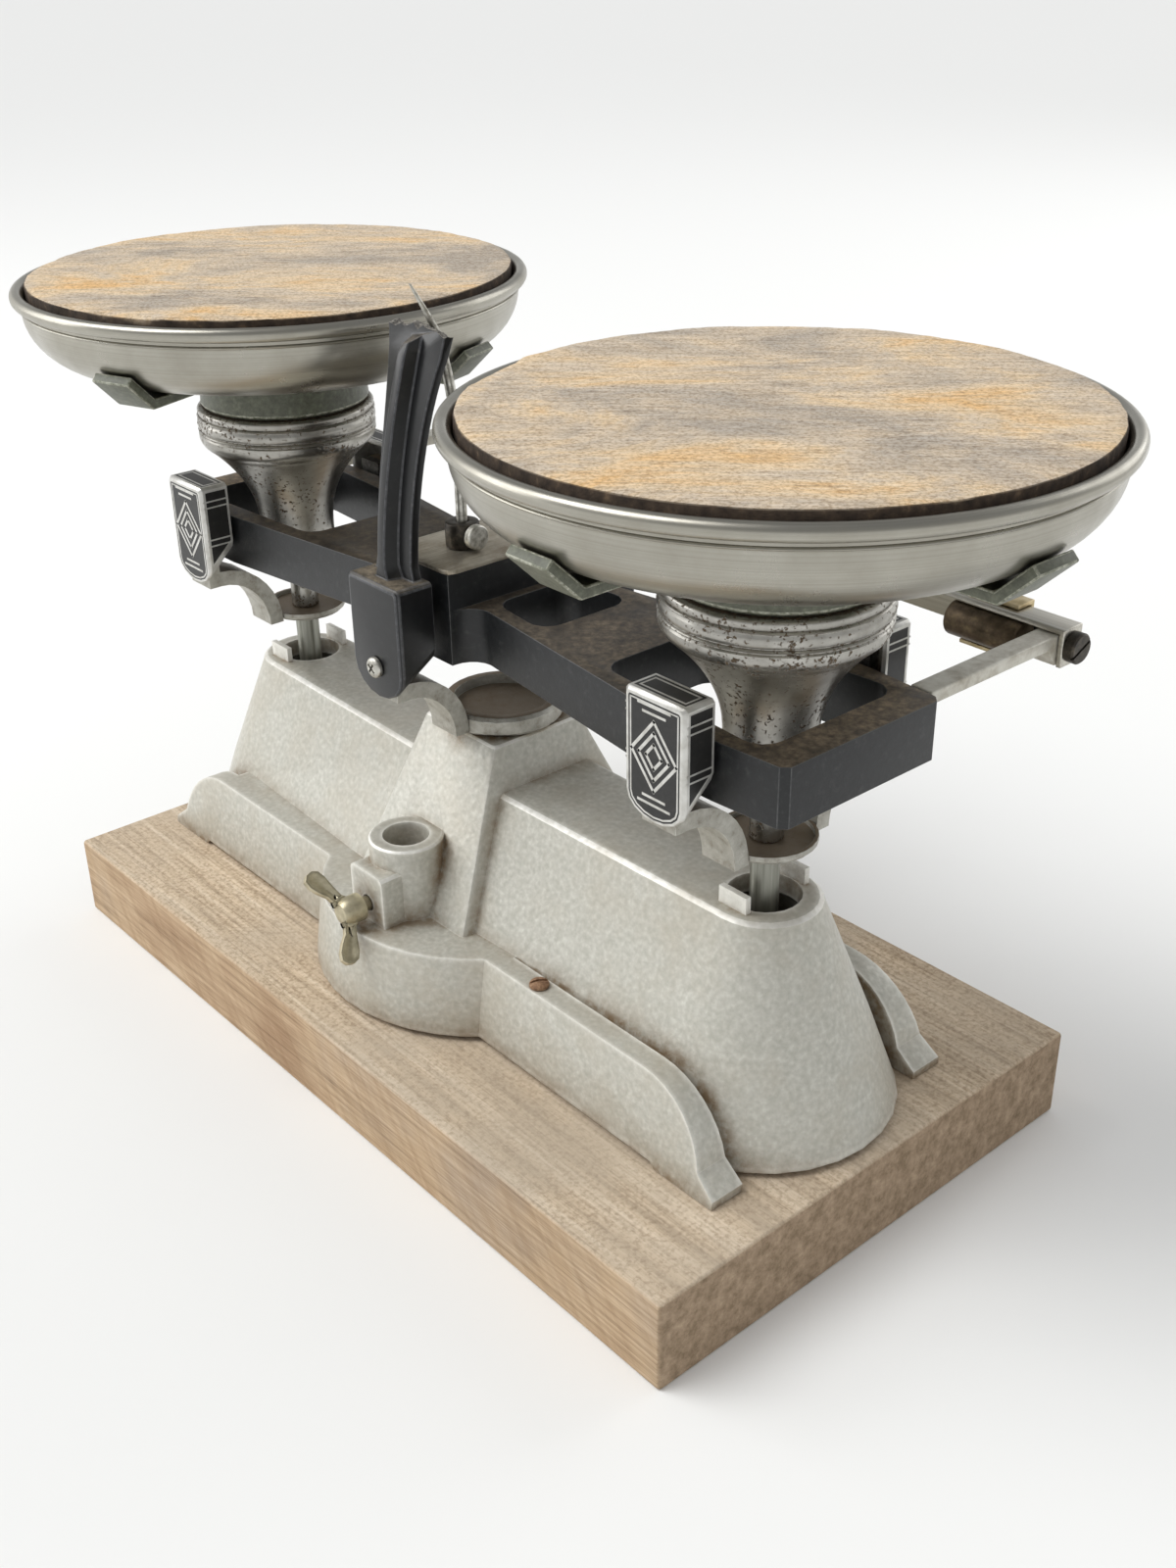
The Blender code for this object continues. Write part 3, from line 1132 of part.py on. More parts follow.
# The weigh beam behind the pans: two arms, an angle rail with folded ends, and its poise.
WEIGH_ARM_INSET = 4.0 * MM
WEIGH_ARM_WIDTH = 7.0 * MM
WEIGH_ARM_HEIGHT = 3.7 * MM
WEIGH_ARM_LENGTH = 59.8 * MM
WEIGH_BOSS_LENGTH = 6.4 * MM
WEIGH_BOSS_DROP = 9.0 * MM
WEIGH_RAIL_THICKNESS = 1.6 * MM
WEIGH_FLANGE = 8.5 * MM
WEIGH_WEB = 11.0 * MM
WEIGH_SCREW_RADIUS = 4.4 * MM
WEIGH_SCREW_LENGTH = 3.0 * MM
POISE_RADIUS = 5.2 * MM
POISE_LENGTH = 24.0 * MM
POISE_INSET = 16.5 * MM
CLIP_LENGTH = 17.0 * MM
CLIP_THICKNESS = 1.2 * MM
CLIP_REACH = 6.0 * MM

WEIGH_ARM_FAR = BEAM_END - WEIGH_ARM_INSET
WEIGH_ARM_NEAR = WEIGH_ARM_FAR - WEIGH_ARM_WIDTH
WEIGH_ARM_START = BEAM_END_HALF_WIDTH + (BEAM_HALF_WIDTH - BEAM_END_HALF_WIDTH) / 2 + FIT
WEIGH_ARM_BACK = WEIGH_ARM_START + WEIGH_ARM_LENGTH
WEIGH_ARM_TOP = BEAM_TOP
RAIL_UNDER = WEIGH_ARM_TOP + FIT
RAIL_TOP = RAIL_UNDER + WEIGH_RAIL_THICKNESS
WEB_INNER = WEIGH_ARM_BACK + FIT
RAIL_BACK = WEB_INNER + WEIGH_RAIL_THICKNESS
RAIL_FRONT = RAIL_BACK - WEIGH_FLANGE
RAIL_END = WEIGH_ARM_FAR + FIT + WEIGH_RAIL_THICKNESS
POISE_X = WEIGH_ARM_NEAR - POISE_INSET
POISE_Z = RAIL_UNDER - FIT - POISE_RADIUS
POISE_Y = WEB_INNER - FIT - POISE_RADIUS


def weigh_arm_outline():
    """Side view of an arm: a thin bar with a deeper boss at its rear end."""
    boss_start = WEIGH_ARM_BACK - WEIGH_BOSS_LENGTH
    return [(WEIGH_ARM_START, WEIGH_ARM_TOP), (WEIGH_ARM_START, WEIGH_ARM_TOP - WEIGH_ARM_HEIGHT),
            (boss_start - WEIGH_ARM_HEIGHT, WEIGH_ARM_TOP - WEIGH_ARM_HEIGHT),
            (boss_start, WEIGH_ARM_TOP - WEIGH_BOSS_DROP), (WEIGH_ARM_BACK, WEIGH_ARM_TOP - WEIGH_BOSS_DROP),
            (WEIGH_ARM_BACK, WEIGH_ARM_TOP)]


def build_weigh_beam():
    for name, side in (("left_weigh_arm", -1), ("right_weigh_arm", 1)):
        low, high = sorted((side * WEIGH_ARM_NEAR, side * WEIGH_ARM_FAR))
        bm = bmesh.new()
        slab_into(bm, weigh_arm_outline(), low, high, "X")
        finish(name, bm, grey_casting())
    # The rail is one strip: flange on top, web at the back and both ends folded down.
    web_bottom = RAIL_TOP - WEIGH_WEB
    bm = bmesh.new()
    box_into(bm, (-RAIL_END, RAIL_FRONT, web_bottom), (RAIL_END, RAIL_BACK, RAIL_TOP))
    rail = finish("weigh_beam", bm, satin_aluminium())
    inner_end = RAIL_END - WEIGH_RAIL_THICKNESS
    modify(rail, helper("weigh_beam_hollow", [lambda b: box_into(
        b, (-inner_end, RAIL_FRONT - OVERRUN, web_bottom - OVERRUN), (inner_end, WEB_INNER, RAIL_UNDER))]),
        "DIFFERENCE")
    screw_y = (RAIL_FRONT + RAIL_BACK) / 2
    screw_z = RAIL_TOP - WEIGH_WEB / 2
    for name, side in (("left_weigh_screw", -1), ("right_weigh_screw", 1)):
        near = side * (RAIL_END + FIT)
        far = near + side * WEIGH_SCREW_LENGTH
        bm = bmesh.new()
        rod_into(bm, Vector((near, screw_y, screw_z)), Vector((far, screw_y, screw_z)),
                 WEIGH_SCREW_RADIUS, 16)
        finish(name, bm, dark_steel())


def build_poise():
    """A bronze cylinder held under the rail by a brass strap that passes behind the web."""
    half = POISE_LENGTH / 2
    bm = bmesh.new()
    rod_into(bm, Vector((POISE_X - half, POISE_Y, POISE_Z)), Vector((POISE_X + half, POISE_Y, POISE_Z)),
             POISE_RADIUS, 24)
    finish("poise_weight", bm, dark_bronze())
    top = RAIL_TOP + FIT + CLIP_THICKNESS
    low = min(POISE_Z - POISE_RADIUS, RAIL_TOP - WEIGH_WEB) - FIT - CLIP_THICKNESS
    back = RAIL_BACK + FIT + CLIP_THICKNESS
    front_top = RAIL_BACK - CLIP_REACH
    outline = [(front_top, top), (back, top), (back, low), (POISE_Y - CLIP_THICKNESS, low),
               (POISE_Y - CLIP_THICKNESS, low + CLIP_THICKNESS),
               (back - CLIP_THICKNESS, low + CLIP_THICKNESS),
               (back - CLIP_THICKNESS, top - CLIP_THICKNESS), (front_top, top - CLIP_THICKNESS)]
    bm = bmesh.new()
    slab_into(bm, outline, POISE_X - CLIP_LENGTH / 2, POISE_X + CLIP_LENGTH / 2, "X")
    finish("poise_clip", bm, yellow_brass())


PANS = (("left", -PAN_REACH), ("right", PAN_REACH))


def build_pivots():
    """An empty on each joint's axis, carrying the pieces of that body."""
    knife_line = Vector((0.0, 0.0, KNIFE_Z))
    beam = ["beam_frame", "front_centre_knife_edge", "rear_centre_knife_edge", "centre_plate",
            "pointer_collar", "pointer_thumb_screw", "pointer", "left_weigh_arm", "right_weigh_arm",
            "weigh_beam", "left_weigh_screw", "right_weigh_screw"]
    beam += [pan + "_" + side_name + "_knife_edge" for pan, _ in PANS for side_name, _ in SIDES]
    hang("beam_pivot", knife_line, beam)
    hang("check_link_pivot", Vector((0.0, 0.0, LINK_Z)), ["check_link"])
    hang("poise_runner", Vector((POISE_X, POISE_Y, POISE_Z)), ["poise_weight", "poise_clip"], "beam_pivot")
    own = ["bow", "check_rod", "check_pin", "pan_column", "spider"]
    own += [side_name + "_" + piece for side_name, _ in SIDES for piece in ("bearing", "cover")]
    for pan, x in PANS:
        carrier = pan + "_carrier_pivot"
        hang(carrier, Vector((x, 0.0, KNIFE_Z)), [pan + "_" + piece for piece in own], "beam_pivot")
        hang(pan + "_dish_rest", Vector((x, 0.0, DISH_BOTTOM)), [pan + "_dish"], carrier)
        hang(pan + "_plate_rest", Vector((x, 0.0, DISC_BOTTOM)), [pan + "_wood_plate"], pan + "_dish_rest")


clear_scene()
build_board()
build_base_casting()
build_ledge_screw()
build_wing_screw()
build_check_link()
build_centre_yoke()
build_centre_pieces()
build_cover_screws()
build_beam()
for pan_name, pan_x in PANS:
    build_carrier(pan_name, pan_x)
    build_pan(pan_name, pan_x)
build_pointer_group()
build_weigh_beam()
build_poise()
build_pivots()
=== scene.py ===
"""An old trip balance on its wooden board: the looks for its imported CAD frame, in metres, at rest."""

import json
import math

import bpy
from mathutils import Matrix, Vector, noise

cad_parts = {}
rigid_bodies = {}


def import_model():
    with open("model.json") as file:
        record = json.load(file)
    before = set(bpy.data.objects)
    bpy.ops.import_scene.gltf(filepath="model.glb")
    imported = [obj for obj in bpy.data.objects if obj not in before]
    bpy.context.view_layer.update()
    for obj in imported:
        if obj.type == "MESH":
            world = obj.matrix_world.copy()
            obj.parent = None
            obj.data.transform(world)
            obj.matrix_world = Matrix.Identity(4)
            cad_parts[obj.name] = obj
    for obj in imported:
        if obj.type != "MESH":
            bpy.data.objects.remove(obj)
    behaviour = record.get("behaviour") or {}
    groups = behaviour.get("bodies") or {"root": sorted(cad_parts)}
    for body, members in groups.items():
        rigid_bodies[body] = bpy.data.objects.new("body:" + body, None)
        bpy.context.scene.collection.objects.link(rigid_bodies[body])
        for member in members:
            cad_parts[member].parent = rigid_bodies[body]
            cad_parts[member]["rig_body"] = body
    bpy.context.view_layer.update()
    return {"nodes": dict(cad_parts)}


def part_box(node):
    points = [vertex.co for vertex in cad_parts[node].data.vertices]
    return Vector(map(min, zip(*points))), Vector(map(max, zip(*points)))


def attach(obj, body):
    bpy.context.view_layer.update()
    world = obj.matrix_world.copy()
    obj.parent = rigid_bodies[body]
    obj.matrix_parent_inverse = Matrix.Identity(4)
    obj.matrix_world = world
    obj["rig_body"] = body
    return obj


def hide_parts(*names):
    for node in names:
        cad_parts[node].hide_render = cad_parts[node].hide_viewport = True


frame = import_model()
nodes = frame["nodes"]
mm = 0.001

# Camera and studio. The balance is seen from above its right front corner with a normal lens.
# One broad soft sun and an even pale sky light it, and a pale floor keeps its shadow.
def linear(code):
    """An sRGB hex colour in the linear values of the shader."""
    channels = [int(code[i:i + 2], 16) / 255 for i in (1, 3, 5)]
    return [c / 12.92 if c <= 0.04045 else ((c + 0.055) / 1.055) ** 2.4 for c in channels] + [1.0]


def feed(tree, node, inputs):
    """Feeds a node's inputs: each gets a value, a hex colour, an output, or a node's first live output."""
    for place, value in dict(inputs).items():
        if isinstance(value, bpy.types.Node):
            value = next(output for output in value.outputs if output.enabled)
        if isinstance(value, bpy.types.NodeSocket):
            tree.links.new(value, node.inputs[place])
        else:
            node.inputs[place].default_value = linear(value) if isinstance(value, str) else value


def add(tree, kind, inputs=(), stops=(), **settings):
    """Adds one node with its settings, its inputs and the stops of its colour ramp."""
    node = tree.nodes.new("ShaderNode" + kind)
    for name, value in settings.items():
        setattr(node, name, value)
    feed(tree, node, inputs)
    for i, (place, value) in enumerate(stops):
        ramp = node.color_ramp.elements
        stop = ramp[i] if i < len(ramp) else ramp.new(place)
        stop.position = place
        stop.color = linear(value) if isinstance(value, str) else (value, value, value, 1.0)
    return node


def material(name):
    """A new material: the material, its node tree, its shader and its Object coordinates."""
    made = bpy.data.materials.new(name)
    made.use_nodes = True
    tree = made.node_tree
    return made, tree, tree.nodes["Principled BSDF"], add(tree, "TexCoord").outputs["Object"]


sensor_width = 36.0
picture_height, focal_pixels = 1600, 1714.2
camera_place = (0.3720, -0.2853, 0.3319)
yaw, pitch, roll = math.radians(49.359), math.radians(28.048), math.radians(-0.911)
forward = Vector((-math.sin(yaw) * math.cos(pitch), math.cos(yaw) * math.cos(pitch), -math.sin(pitch)))
level = Vector((math.cos(yaw), math.sin(yaw), 0.0))
above = level.cross(forward)
right = level * math.cos(roll) + above * math.sin(roll)
upward = above * math.cos(roll) - level * math.sin(roll)
lens = bpy.data.cameras.new("camera")
lens.sensor_fit = "AUTO"
lens.sensor_width = sensor_width
lens.lens = sensor_width * focal_pixels / picture_height
lens.clip_start = 10 * mm
camera = bpy.data.objects.new("camera", lens)
bpy.context.scene.collection.objects.link(camera)
turn = Matrix((right, upward, -forward)).transposed().to_4x4()
camera.matrix_world = Matrix.Translation(camera_place) @ turn
bpy.context.scene.camera = camera
bpy.context.scene.view_settings.view_transform = "Standard"

floor_size = 60.0
bpy.ops.object.select_all(action="DESELECT")
bpy.ops.mesh.primitive_plane_add(size=floor_size, location=(0.0, 0.0, 0.0))
floor = bpy.context.object
floor.name = "studio_floor"
# Floor paper: matt and pale, so it takes a soft shadow and gives no glare.
studio_floor, tree, shader, _ = material("studio_floor")
feed(tree, shader, {"Base Color": "#e9e9e7", "Roughness": 0.9, "Specular IOR Level": 0.1})
floor.data.materials.append(studio_floor)

sun = bpy.data.lights.new("soft_sun", "SUN")
sun.energy = 1.7
sun.angle = math.radians(38)
key = bpy.data.objects.new("soft_sun", sun)
bpy.context.scene.collection.objects.link(key)
towards_sun = Vector((-0.62, -0.80, 1.45))
key.rotation_euler = towards_sun.to_track_quat("Z", "Y").to_euler()
aim = Vector((0.0, 0.0, 100 * mm))
for name, place, size, power in (("left_softbox", (-1.3, -0.9, 0.8), 1.0, 9.0),
                                 ("back_softbox", (0.2, 1.8, 1.0), 1.2, 7.0)):
    box = bpy.data.lights.new(name, "AREA")
    box.size = size
    box.energy = power
    lamp = bpy.data.objects.new(name, box)
    bpy.context.scene.collection.objects.link(lamp)
    lamp.location = place
    lamp.rotation_euler = (Vector(place) - aim).to_track_quat("Z", "Y").to_euler()

world = bpy.data.worlds.new("studio")
bpy.context.scene.world = world
world.use_nodes = True
tree = world.node_tree
tree.nodes.clear()
height = add(tree, "SeparateXYZ", {0: add(tree, "TexCoord").outputs["Generated"]}).outputs["Z"]
sky = add(tree, "ValToRGB", {0: height}, stops=[(0.0, "#f4f4f2"), (0.35, "#b4b5b6"), (1.0, "#8d8e90")])
seen = add(tree, "LightPath")
mirrored = add(tree, "Math", {0: seen.outputs["Is Camera Ray"], 1: seen.outputs["Is Glossy Ray"]},
               operation="MAXIMUM")
shown = add(tree, "Math", {0: mirrored, 1: seen.outputs["Is Transmission Ray"]}, operation="MAXIMUM")
lit = add(tree, "Background", {"Color": "#f7f8fa", "Strength": 0.64})
pale = add(tree, "Background", {"Color": sky, "Strength": 1.0})
both = add(tree, "MixShader", {0: shown, 1: lit, 2: pale})
add(tree, "OutputWorld", {"Surface": both})

# The board: a thick offcut of softwood, sawn and left to weather grey, so its grain stands up in lines.
# Its edges are rubbed round, the saw marks show on its front and its right end shows dark end grain.
def only(piece):
    """Selects one piece and nothing else."""
    bpy.ops.object.select_all(action="DESELECT")
    piece.select_set(True)
    bpy.context.view_layer.objects.active = piece


def unpicked(piece):
    """Selects a piece with nothing picked in its mesh, so that faces can be picked next."""
    only(piece)
    bpy.ops.object.mode_set(mode="EDIT")
    bpy.ops.mesh.select_mode(type="FACE")
    bpy.ops.mesh.select_all(action="DESELECT")
    bpy.ops.object.mode_set(mode="OBJECT")


def softened(name, width, finish, segments=3, angle=30.0, smooth=40.0, edge=None):
    """A copy of a CAD piece with its sharp edges rounded, in a finish of their own, which stands for it."""
    source = nodes[name]
    piece = bpy.data.objects.new(name + "_worn", source.data.copy())
    bpy.context.scene.collection.objects.link(piece)
    only(piece)
    bpy.ops.object.mode_set(mode="EDIT")
    bpy.ops.mesh.select_all(action="SELECT")
    bpy.ops.mesh.remove_doubles(threshold=0.01 * mm)
    bpy.ops.mesh.dissolve_limited(angle_limit=math.radians(0.6))
    bpy.ops.object.mode_set(mode="OBJECT")
    piece.data.materials.clear()
    piece.data.materials.append(finish)
    if edge:
        piece.data.materials.append(edge)
    if width:
        bevel = piece.modifiers.new("edges", "BEVEL")
        bevel.material = 1 if edge else -1
        bevel.width = width
        bevel.segments = segments
        bevel.limit_method = "ANGLE"
        bevel.angle_limit = math.radians(angle)
        bevel.use_clamp_overlap = True
        bpy.ops.object.modifier_apply(modifier="edges")
    bpy.ops.object.shade_smooth_by_angle(angle=math.radians(smooth))
    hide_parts(name)
    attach(piece, source["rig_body"])
    return piece


def grain(tree, at, lengths, detail, ragged=0.5, twist=0.0):
    """A noise pattern drawn out to real lengths along the three axes, as grain and tool marks are."""
    drawn = add(tree, "Mapping", {"Vector": at, "Scale": [1 / length for length in lengths]})
    return add(tree, "TexNoise",
               {"Vector": drawn, "Scale": 1.0, "Detail": detail, "Roughness": ragged, "Distortion": twist})


mixed = {"data_type": "RGBA"}
multiplied = {"data_type": "RGBA", "blend_type": "MULTIPLY"}
# Weathered softwood: sawn across and left bare, so light ridges of grain stand between grey, dusty lines.
# The year rings are drawn 6.7 mm wide and the ridges 1.4 mm; single fibres are too fine to show.
weathered_wood, tree, shader, at = material("weathered_softwood")
fine = grain(tree, at, (58.8 * mm, 1.389 * mm, 1.389 * mm), 7.0, 0.75, 0.3)
year = grain(tree, at, (142.9 * mm, 6.667 * mm, 6.667 * mm), 4.0, 0.6, 0.5)
patch = add(tree, "TexNoise", {"Vector": at, "Scale": 1 / (66.67 * mm), "Detail": 4.0, "Roughness": 0.6})
year_tone = add(tree, "ValToRGB", {0: year},
                stops=[(0.34, "#c3b199"), (0.50, "#dac7ad"), (0.66, "#e6d6bf")])
fine_tone = add(tree, "ValToRGB", {0: fine},
                stops=[(0.30, "#84776a"), (0.47, "#ddd7cf"), (0.62, "#ffffff")])
top_grain = add(tree, "Mix", {0: 0.65, 6: year_tone, 7: fine_tone}, **multiplied)
dirt = add(tree, "TexNoise", {"Vector": at, "Scale": 1 / (1.3 * mm), "Detail": 5.0, "Roughness": 0.7})
dirt_tone = add(tree, "ValToRGB", {0: dirt}, stops=[(0.36, "#a89a89"), (0.54, "#ffffff")])
top_dirty = add(tree, "Mix", {0: 0.6, 6: top_grain, 7: dirt_tone}, **multiplied)
grey = add(tree, "ValToRGB", {0: patch}, stops=[(0.42, 0.0), (0.66, 0.6)])
top_grey = add(tree, "Mix", {0: grey, 6: top_dirty, 7: "#b2a593"}, **mixed)
slant = add(tree, "Mapping", {"Vector": at, "Rotation": (0.0, 0.62, 0.0)})
saw = grain(tree, slant, (2.381 * mm, 33.33 * mm, 41.67 * mm), 4.0, 0.6)
saw_tone = add(tree, "ValToRGB", {0: saw}, stops=[(0.32, "#cdbfae"), (0.58, "#ffffff")])
blot_tone = add(tree, "ValToRGB", {0: patch},
                stops=[(0.35, "#b3977a"), (0.52, "#c9b193"), (0.7, "#b8a692")])
front_grain = add(tree, "Mix", {0: 0.75, 6: blot_tone, 7: fine_tone}, **multiplied)
front_tone = add(tree, "Mix", {0: 0.35, 6: front_grain, 7: saw_tone}, **multiplied)
spots = add(tree, "TexNoise", {"Vector": at, "Scale": 1 / (5.0 * mm), "Detail": 8.0, "Roughness": 0.8})
end_tone = add(tree, "ValToRGB", {0: spots},
               stops=[(0.28, "#75644f"), (0.44, "#917d65"), (0.56, "#a8927a"), (0.74, "#c4ae91")])
facing = add(tree, "SeparateXYZ", {0: add(tree, "TexCoord").outputs["Normal"]})
is_end = add(tree, "Math", {0: facing.outputs["X"]}, operation="ABSOLUTE")
is_top = add(tree, "Math", {0: facing.outputs["Z"]}, operation="ABSOLUTE")
end_share = add(tree, "MapRange", {0: is_end, 1: 0.45, 2: 0.8})
top_share = add(tree, "MapRange", {0: is_top, 1: 0.45, 2: 0.8})
sides = add(tree, "Mix", {0: end_share, 6: front_tone, 7: end_tone}, **mixed)
whole = add(tree, "Mix", {0: top_share, 6: sides, 7: top_grey}, **mixed)
ridges = add(tree, "Bump", {"Height": fine, "Strength": 0.45, "Distance": 0.5 * mm})
marks = add(tree, "Bump", {"Height": spots, "Strength": 0.25, "Distance": 0.4 * mm, "Normal": ridges})
feed(tree, shader, {"Base Color": whole, "Normal": marks, "Roughness": 0.85, "Specular IOR Level": 0.3})
softened("board", 0.9 * mm, weathered_wood, segments=4)

# The base: one sand casting in aluminium alloy, sprayed with hammered silver-grey enamel.
# The paint lies in small dimples, is thin along the edges, whose upper rounds also carry a painted
# highlight, and brown dust sits in the hollows.
casting_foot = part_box("base_casting")[0].z
dust_reach, wear_reach = 11 * mm, 2.2 * mm


def facing_up(tree, start, end, most=1.0):
    """The share of a finish that lies on what faces up: none below one slope, the most above another."""
    up = add(tree, "SeparateXYZ", {0: add(tree, "TexCoord").outputs["Normal"]})
    return add(tree, "MapRange", {0: up.outputs["Z"], 1: start, 2: end, 4: most})


def hammered(name, tones, dust):
    """Enamel over cast skin: dimples, stains, dust in hollows and on level faces, and pale worn edges."""
    made, tree, shader, at = material(name)
    dimples = add(tree, "TexVoronoi", {"Vector": at, "Scale": 1 / (2.4 * mm), "Smoothness": 0.8,
                                       "Randomness": 1.0}, feature="SMOOTH_F1")
    fine = add(tree, "TexNoise", {"Vector": at, "Scale": 1 / (1.6 * mm), "Detail": 4.0})
    wide = add(tree, "TexNoise", {"Vector": at, "Scale": 1 / (26.0 * mm), "Detail": 5.0, "Roughness": 0.65})
    grime = add(tree, "TexNoise", {"Vector": at, "Scale": 1 / (6.0 * mm), "Detail": 7.0, "Roughness": 0.72})
    paint = add(tree, "ValToRGB", {0: fine}, stops=[(0.32, tones[0]), (0.55, tones[1]), (0.74, tones[2])])
    stain = add(tree, "ValToRGB", {0: wide}, stops=[(0.44, 0.0), (0.72, 0.5)])
    stained = add(tree, "Mix", {0: stain, 6: paint, 7: "#b5ad9c"}, **mixed)
    hollow = add(tree, "AmbientOcclusion", {"Distance": dust_reach}, samples=8)
    hollow_share = add(tree, "ValToRGB", {0: hollow.outputs["AO"]}, stops=[(0.50, 1.0), (0.90, 0.0)])
    lies = add(tree, "Math", {0: hollow_share, 1: facing_up(tree, 0.90, 1.0, 0.15)}, operation="ADD")
    clump = add(tree, "ValToRGB", {0: grime}, stops=[(0.38, 0.25), (0.58, 1.0)])
    dust_share = add(tree, "Math", {0: lies, 1: clump}, operation="MULTIPLY", use_clamp=True)
    dusty = add(tree, "Mix", {0: dust_share, 6: stained, 7: dust}, **mixed)
    ridge = add(tree, "AmbientOcclusion", {"Distance": wear_reach}, samples=8, inside=True, only_local=True)
    ridge_share = add(tree, "ValToRGB", {0: ridge.outputs["AO"]}, stops=[(0.58, 1.0), (0.90, 0.0)])
    rubbed = add(tree, "ValToRGB", {0: grime}, stops=[(0.30, 1.0), (0.66, 0.45)])
    height = add(tree, "SeparateXYZ", {0: at})
    clear = add(tree, "MapRange", {0: height.outputs["Z"], 1: casting_foot + 1.5 * mm,
                                   2: casting_foot + 3.5 * mm})
    wear = add(tree, "Math", {0: ridge_share, 1: rubbed}, operation="MULTIPLY")
    wear = add(tree, "Math", {0: wear, 1: clear}, operation="MULTIPLY")
    worn = add(tree, "Mix", {0: wear, 6: dusty, 7: "#f0eee6"}, **mixed)
    dimple_bump = add(tree, "Bump", {"Height": dimples, "Strength": 0.32, "Distance": 0.5 * mm})
    cast_bump = add(tree, "Bump", {"Height": fine, "Strength": 0.2, "Distance": 0.4 * mm,
                                   "Normal": dimple_bump})
    feed(tree, shader, {"Base Color": worn, "Normal": cast_bump, "Metallic": 0.2, "Roughness": 0.42})
    return made


# Hammered enamel: sprayed on thick over the cast skin, where it shrinks into dimples with a soft sheen.
# The dimples are 2.4 mm wide. The sand's own grain is too fine to show, so it is drawn 1.6 mm wide.
hammered_enamel = hammered("hammered_enamel_on_casting", ("#b3b2a7", "#c1bfb5", "#cecdc3"), "#85725a")
# The same enamel worn thin by hands on the rounds of the edges, where it is almost white: partly wear,
# partly a painted highlight where the upper rounds face the light.
worn_and_highlit_enamel = hammered("enamel_worn_thin_with_painted_highlight_on_edges", ("#dbd9d0", "#e8e6df", "#f0efe9"), "#b5a88f")
casting = softened("base_casting", 1.2 * mm, hammered_enamel, angle=28.0, smooth=50.0,
                   edge=worn_and_highlit_enamel)


def mottled(name, size, stops, roughness, metallic=0.0, detail=5.0, ragged=0.5, relief=None):
    """A simple finish: one cloudy pattern of a real size in a run of tones, in relief if asked."""
    made, tree, shader, at = material(name)
    cloud = add(tree, "TexNoise", {"Vector": at, "Scale": 1 / size, "Detail": detail, "Roughness": ragged})
    tone = add(tree, "ValToRGB", {0: cloud}, stops=stops)
    feed(tree, shader, {"Base Color": tone, "Metallic": metallic, "Roughness": roughness})
    if relief:
        bump = add(tree, "Bump", {"Height": cloud, "Strength": relief[0], "Distance": relief[1]})
        feed(tree, shader, {"Normal": bump})
    return made


# Bare cast skin in the bores of the socket and the towers: rough and dry, dark with old grime, and darkened
# to near black by painted shade, as the inside of a hole lies in shade.
bore_grime_and_shade = mottled("grimy_bore_with_painted_shade", 3.0 * mm, [(0.35, "#1f1c19"), (0.65, "#4b443a")], roughness=0.7)
casting.data.materials.append(bore_grime_and_shade)
socket_y, socket_reach, tower_x, tower_reach = -39.0 * mm, 5.6 * mm, 111.4 * mm, 9.5 * mm
bores = ((0.0, socket_y, socket_reach), (-tower_x, 0.0, tower_reach), (tower_x, 0.0, tower_reach))
round_width, round_height = 3.0 * mm, 5.0 * mm
for face in casting.data.polygons:
    corners = [casting.data.vertices[i].co for i in face.vertices]
    longest = max((a - b).length for a, b in zip(corners, corners[1:] + corners[:1]))
    heights = [corner.z for corner in corners]
    narrow = face.area / longest < round_width and max(heights) - min(heights) < round_height
    # The narrow rounds between the level tops and the sloping sides are worn as well, and carry the painted
    # highlight.
    if narrow and 0.35 < face.normal.z < 0.93:
        face.material_index = 1
    # The walls inside the bores take the grime and the painted shade.
    for x, y, reach in bores:
        if abs(face.normal.z) < 0.3 and max(math.hypot(co.x - x, co.y - y) for co in corners) < reach:
            face.material_index = 2

# The screw in the ledge: an old slotted wood screw of mild steel, domed, and brown with rust.
def turned(name, profile, centre, steps=128, axis="Z"):
    """A turned piece: a point is drawn along the profile of (radius, height) and spun round the axis."""
    bpy.ops.object.select_all(action="DESELECT")
    bpy.ops.mesh.primitive_plane_add(size=1 * mm, location=centre)
    piece = bpy.context.object
    piece.name = name
    bpy.ops.object.transform_apply(location=True, rotation=True, scale=True)
    bpy.ops.object.mode_set(mode="EDIT")
    bpy.ops.mesh.select_mode(type="VERT")
    bpy.ops.mesh.select_all(action="SELECT")
    bpy.ops.mesh.merge(type="CENTER")
    out, along, turn = {"Z": ((1, 0, 0), (0, 0, 1), (0, 0, 1)), "X": ((0, 0, 1), (1, 0, 0), (1, 0, 0)),
                        "Y": ((1, 0, 0), (0, 1, 0), (0, 1, 0))}[axis]
    places = [Vector(out) * radius + Vector(along) * height for radius, height in profile]
    bpy.ops.transform.translate(value=places[0])
    for start, end in zip(places, places[1:]):
        bpy.ops.mesh.extrude_vertices_move(TRANSFORM_OT_translate={"value": end - start})
    bpy.ops.mesh.select_all(action="SELECT")
    bpy.ops.mesh.spin(steps=steps, angle=2 * math.pi, center=centre, axis=turn, use_auto_merge=True)
    bpy.ops.mesh.select_all(action="SELECT")
    bpy.ops.mesh.remove_doubles(threshold=0.002 * mm)
    bpy.ops.mesh.normals_make_consistent(inside=False)
    bpy.ops.object.mode_set(mode="OBJECT")
    bpy.ops.object.shade_smooth_by_angle(angle=math.radians(35))
    return piece


def settle(piece, finish, slot, body, *replaced):
    """A finished piece: its material, its body and the CAD pieces that it stands for."""
    only(piece)
    bpy.ops.object.transform_apply(location=True, rotation=True, scale=True)
    if finish:
        piece.data.materials.clear()
        piece.data.materials.append(finish)
    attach(piece, body)
    if replaced:
        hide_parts(*replaced)
    return piece


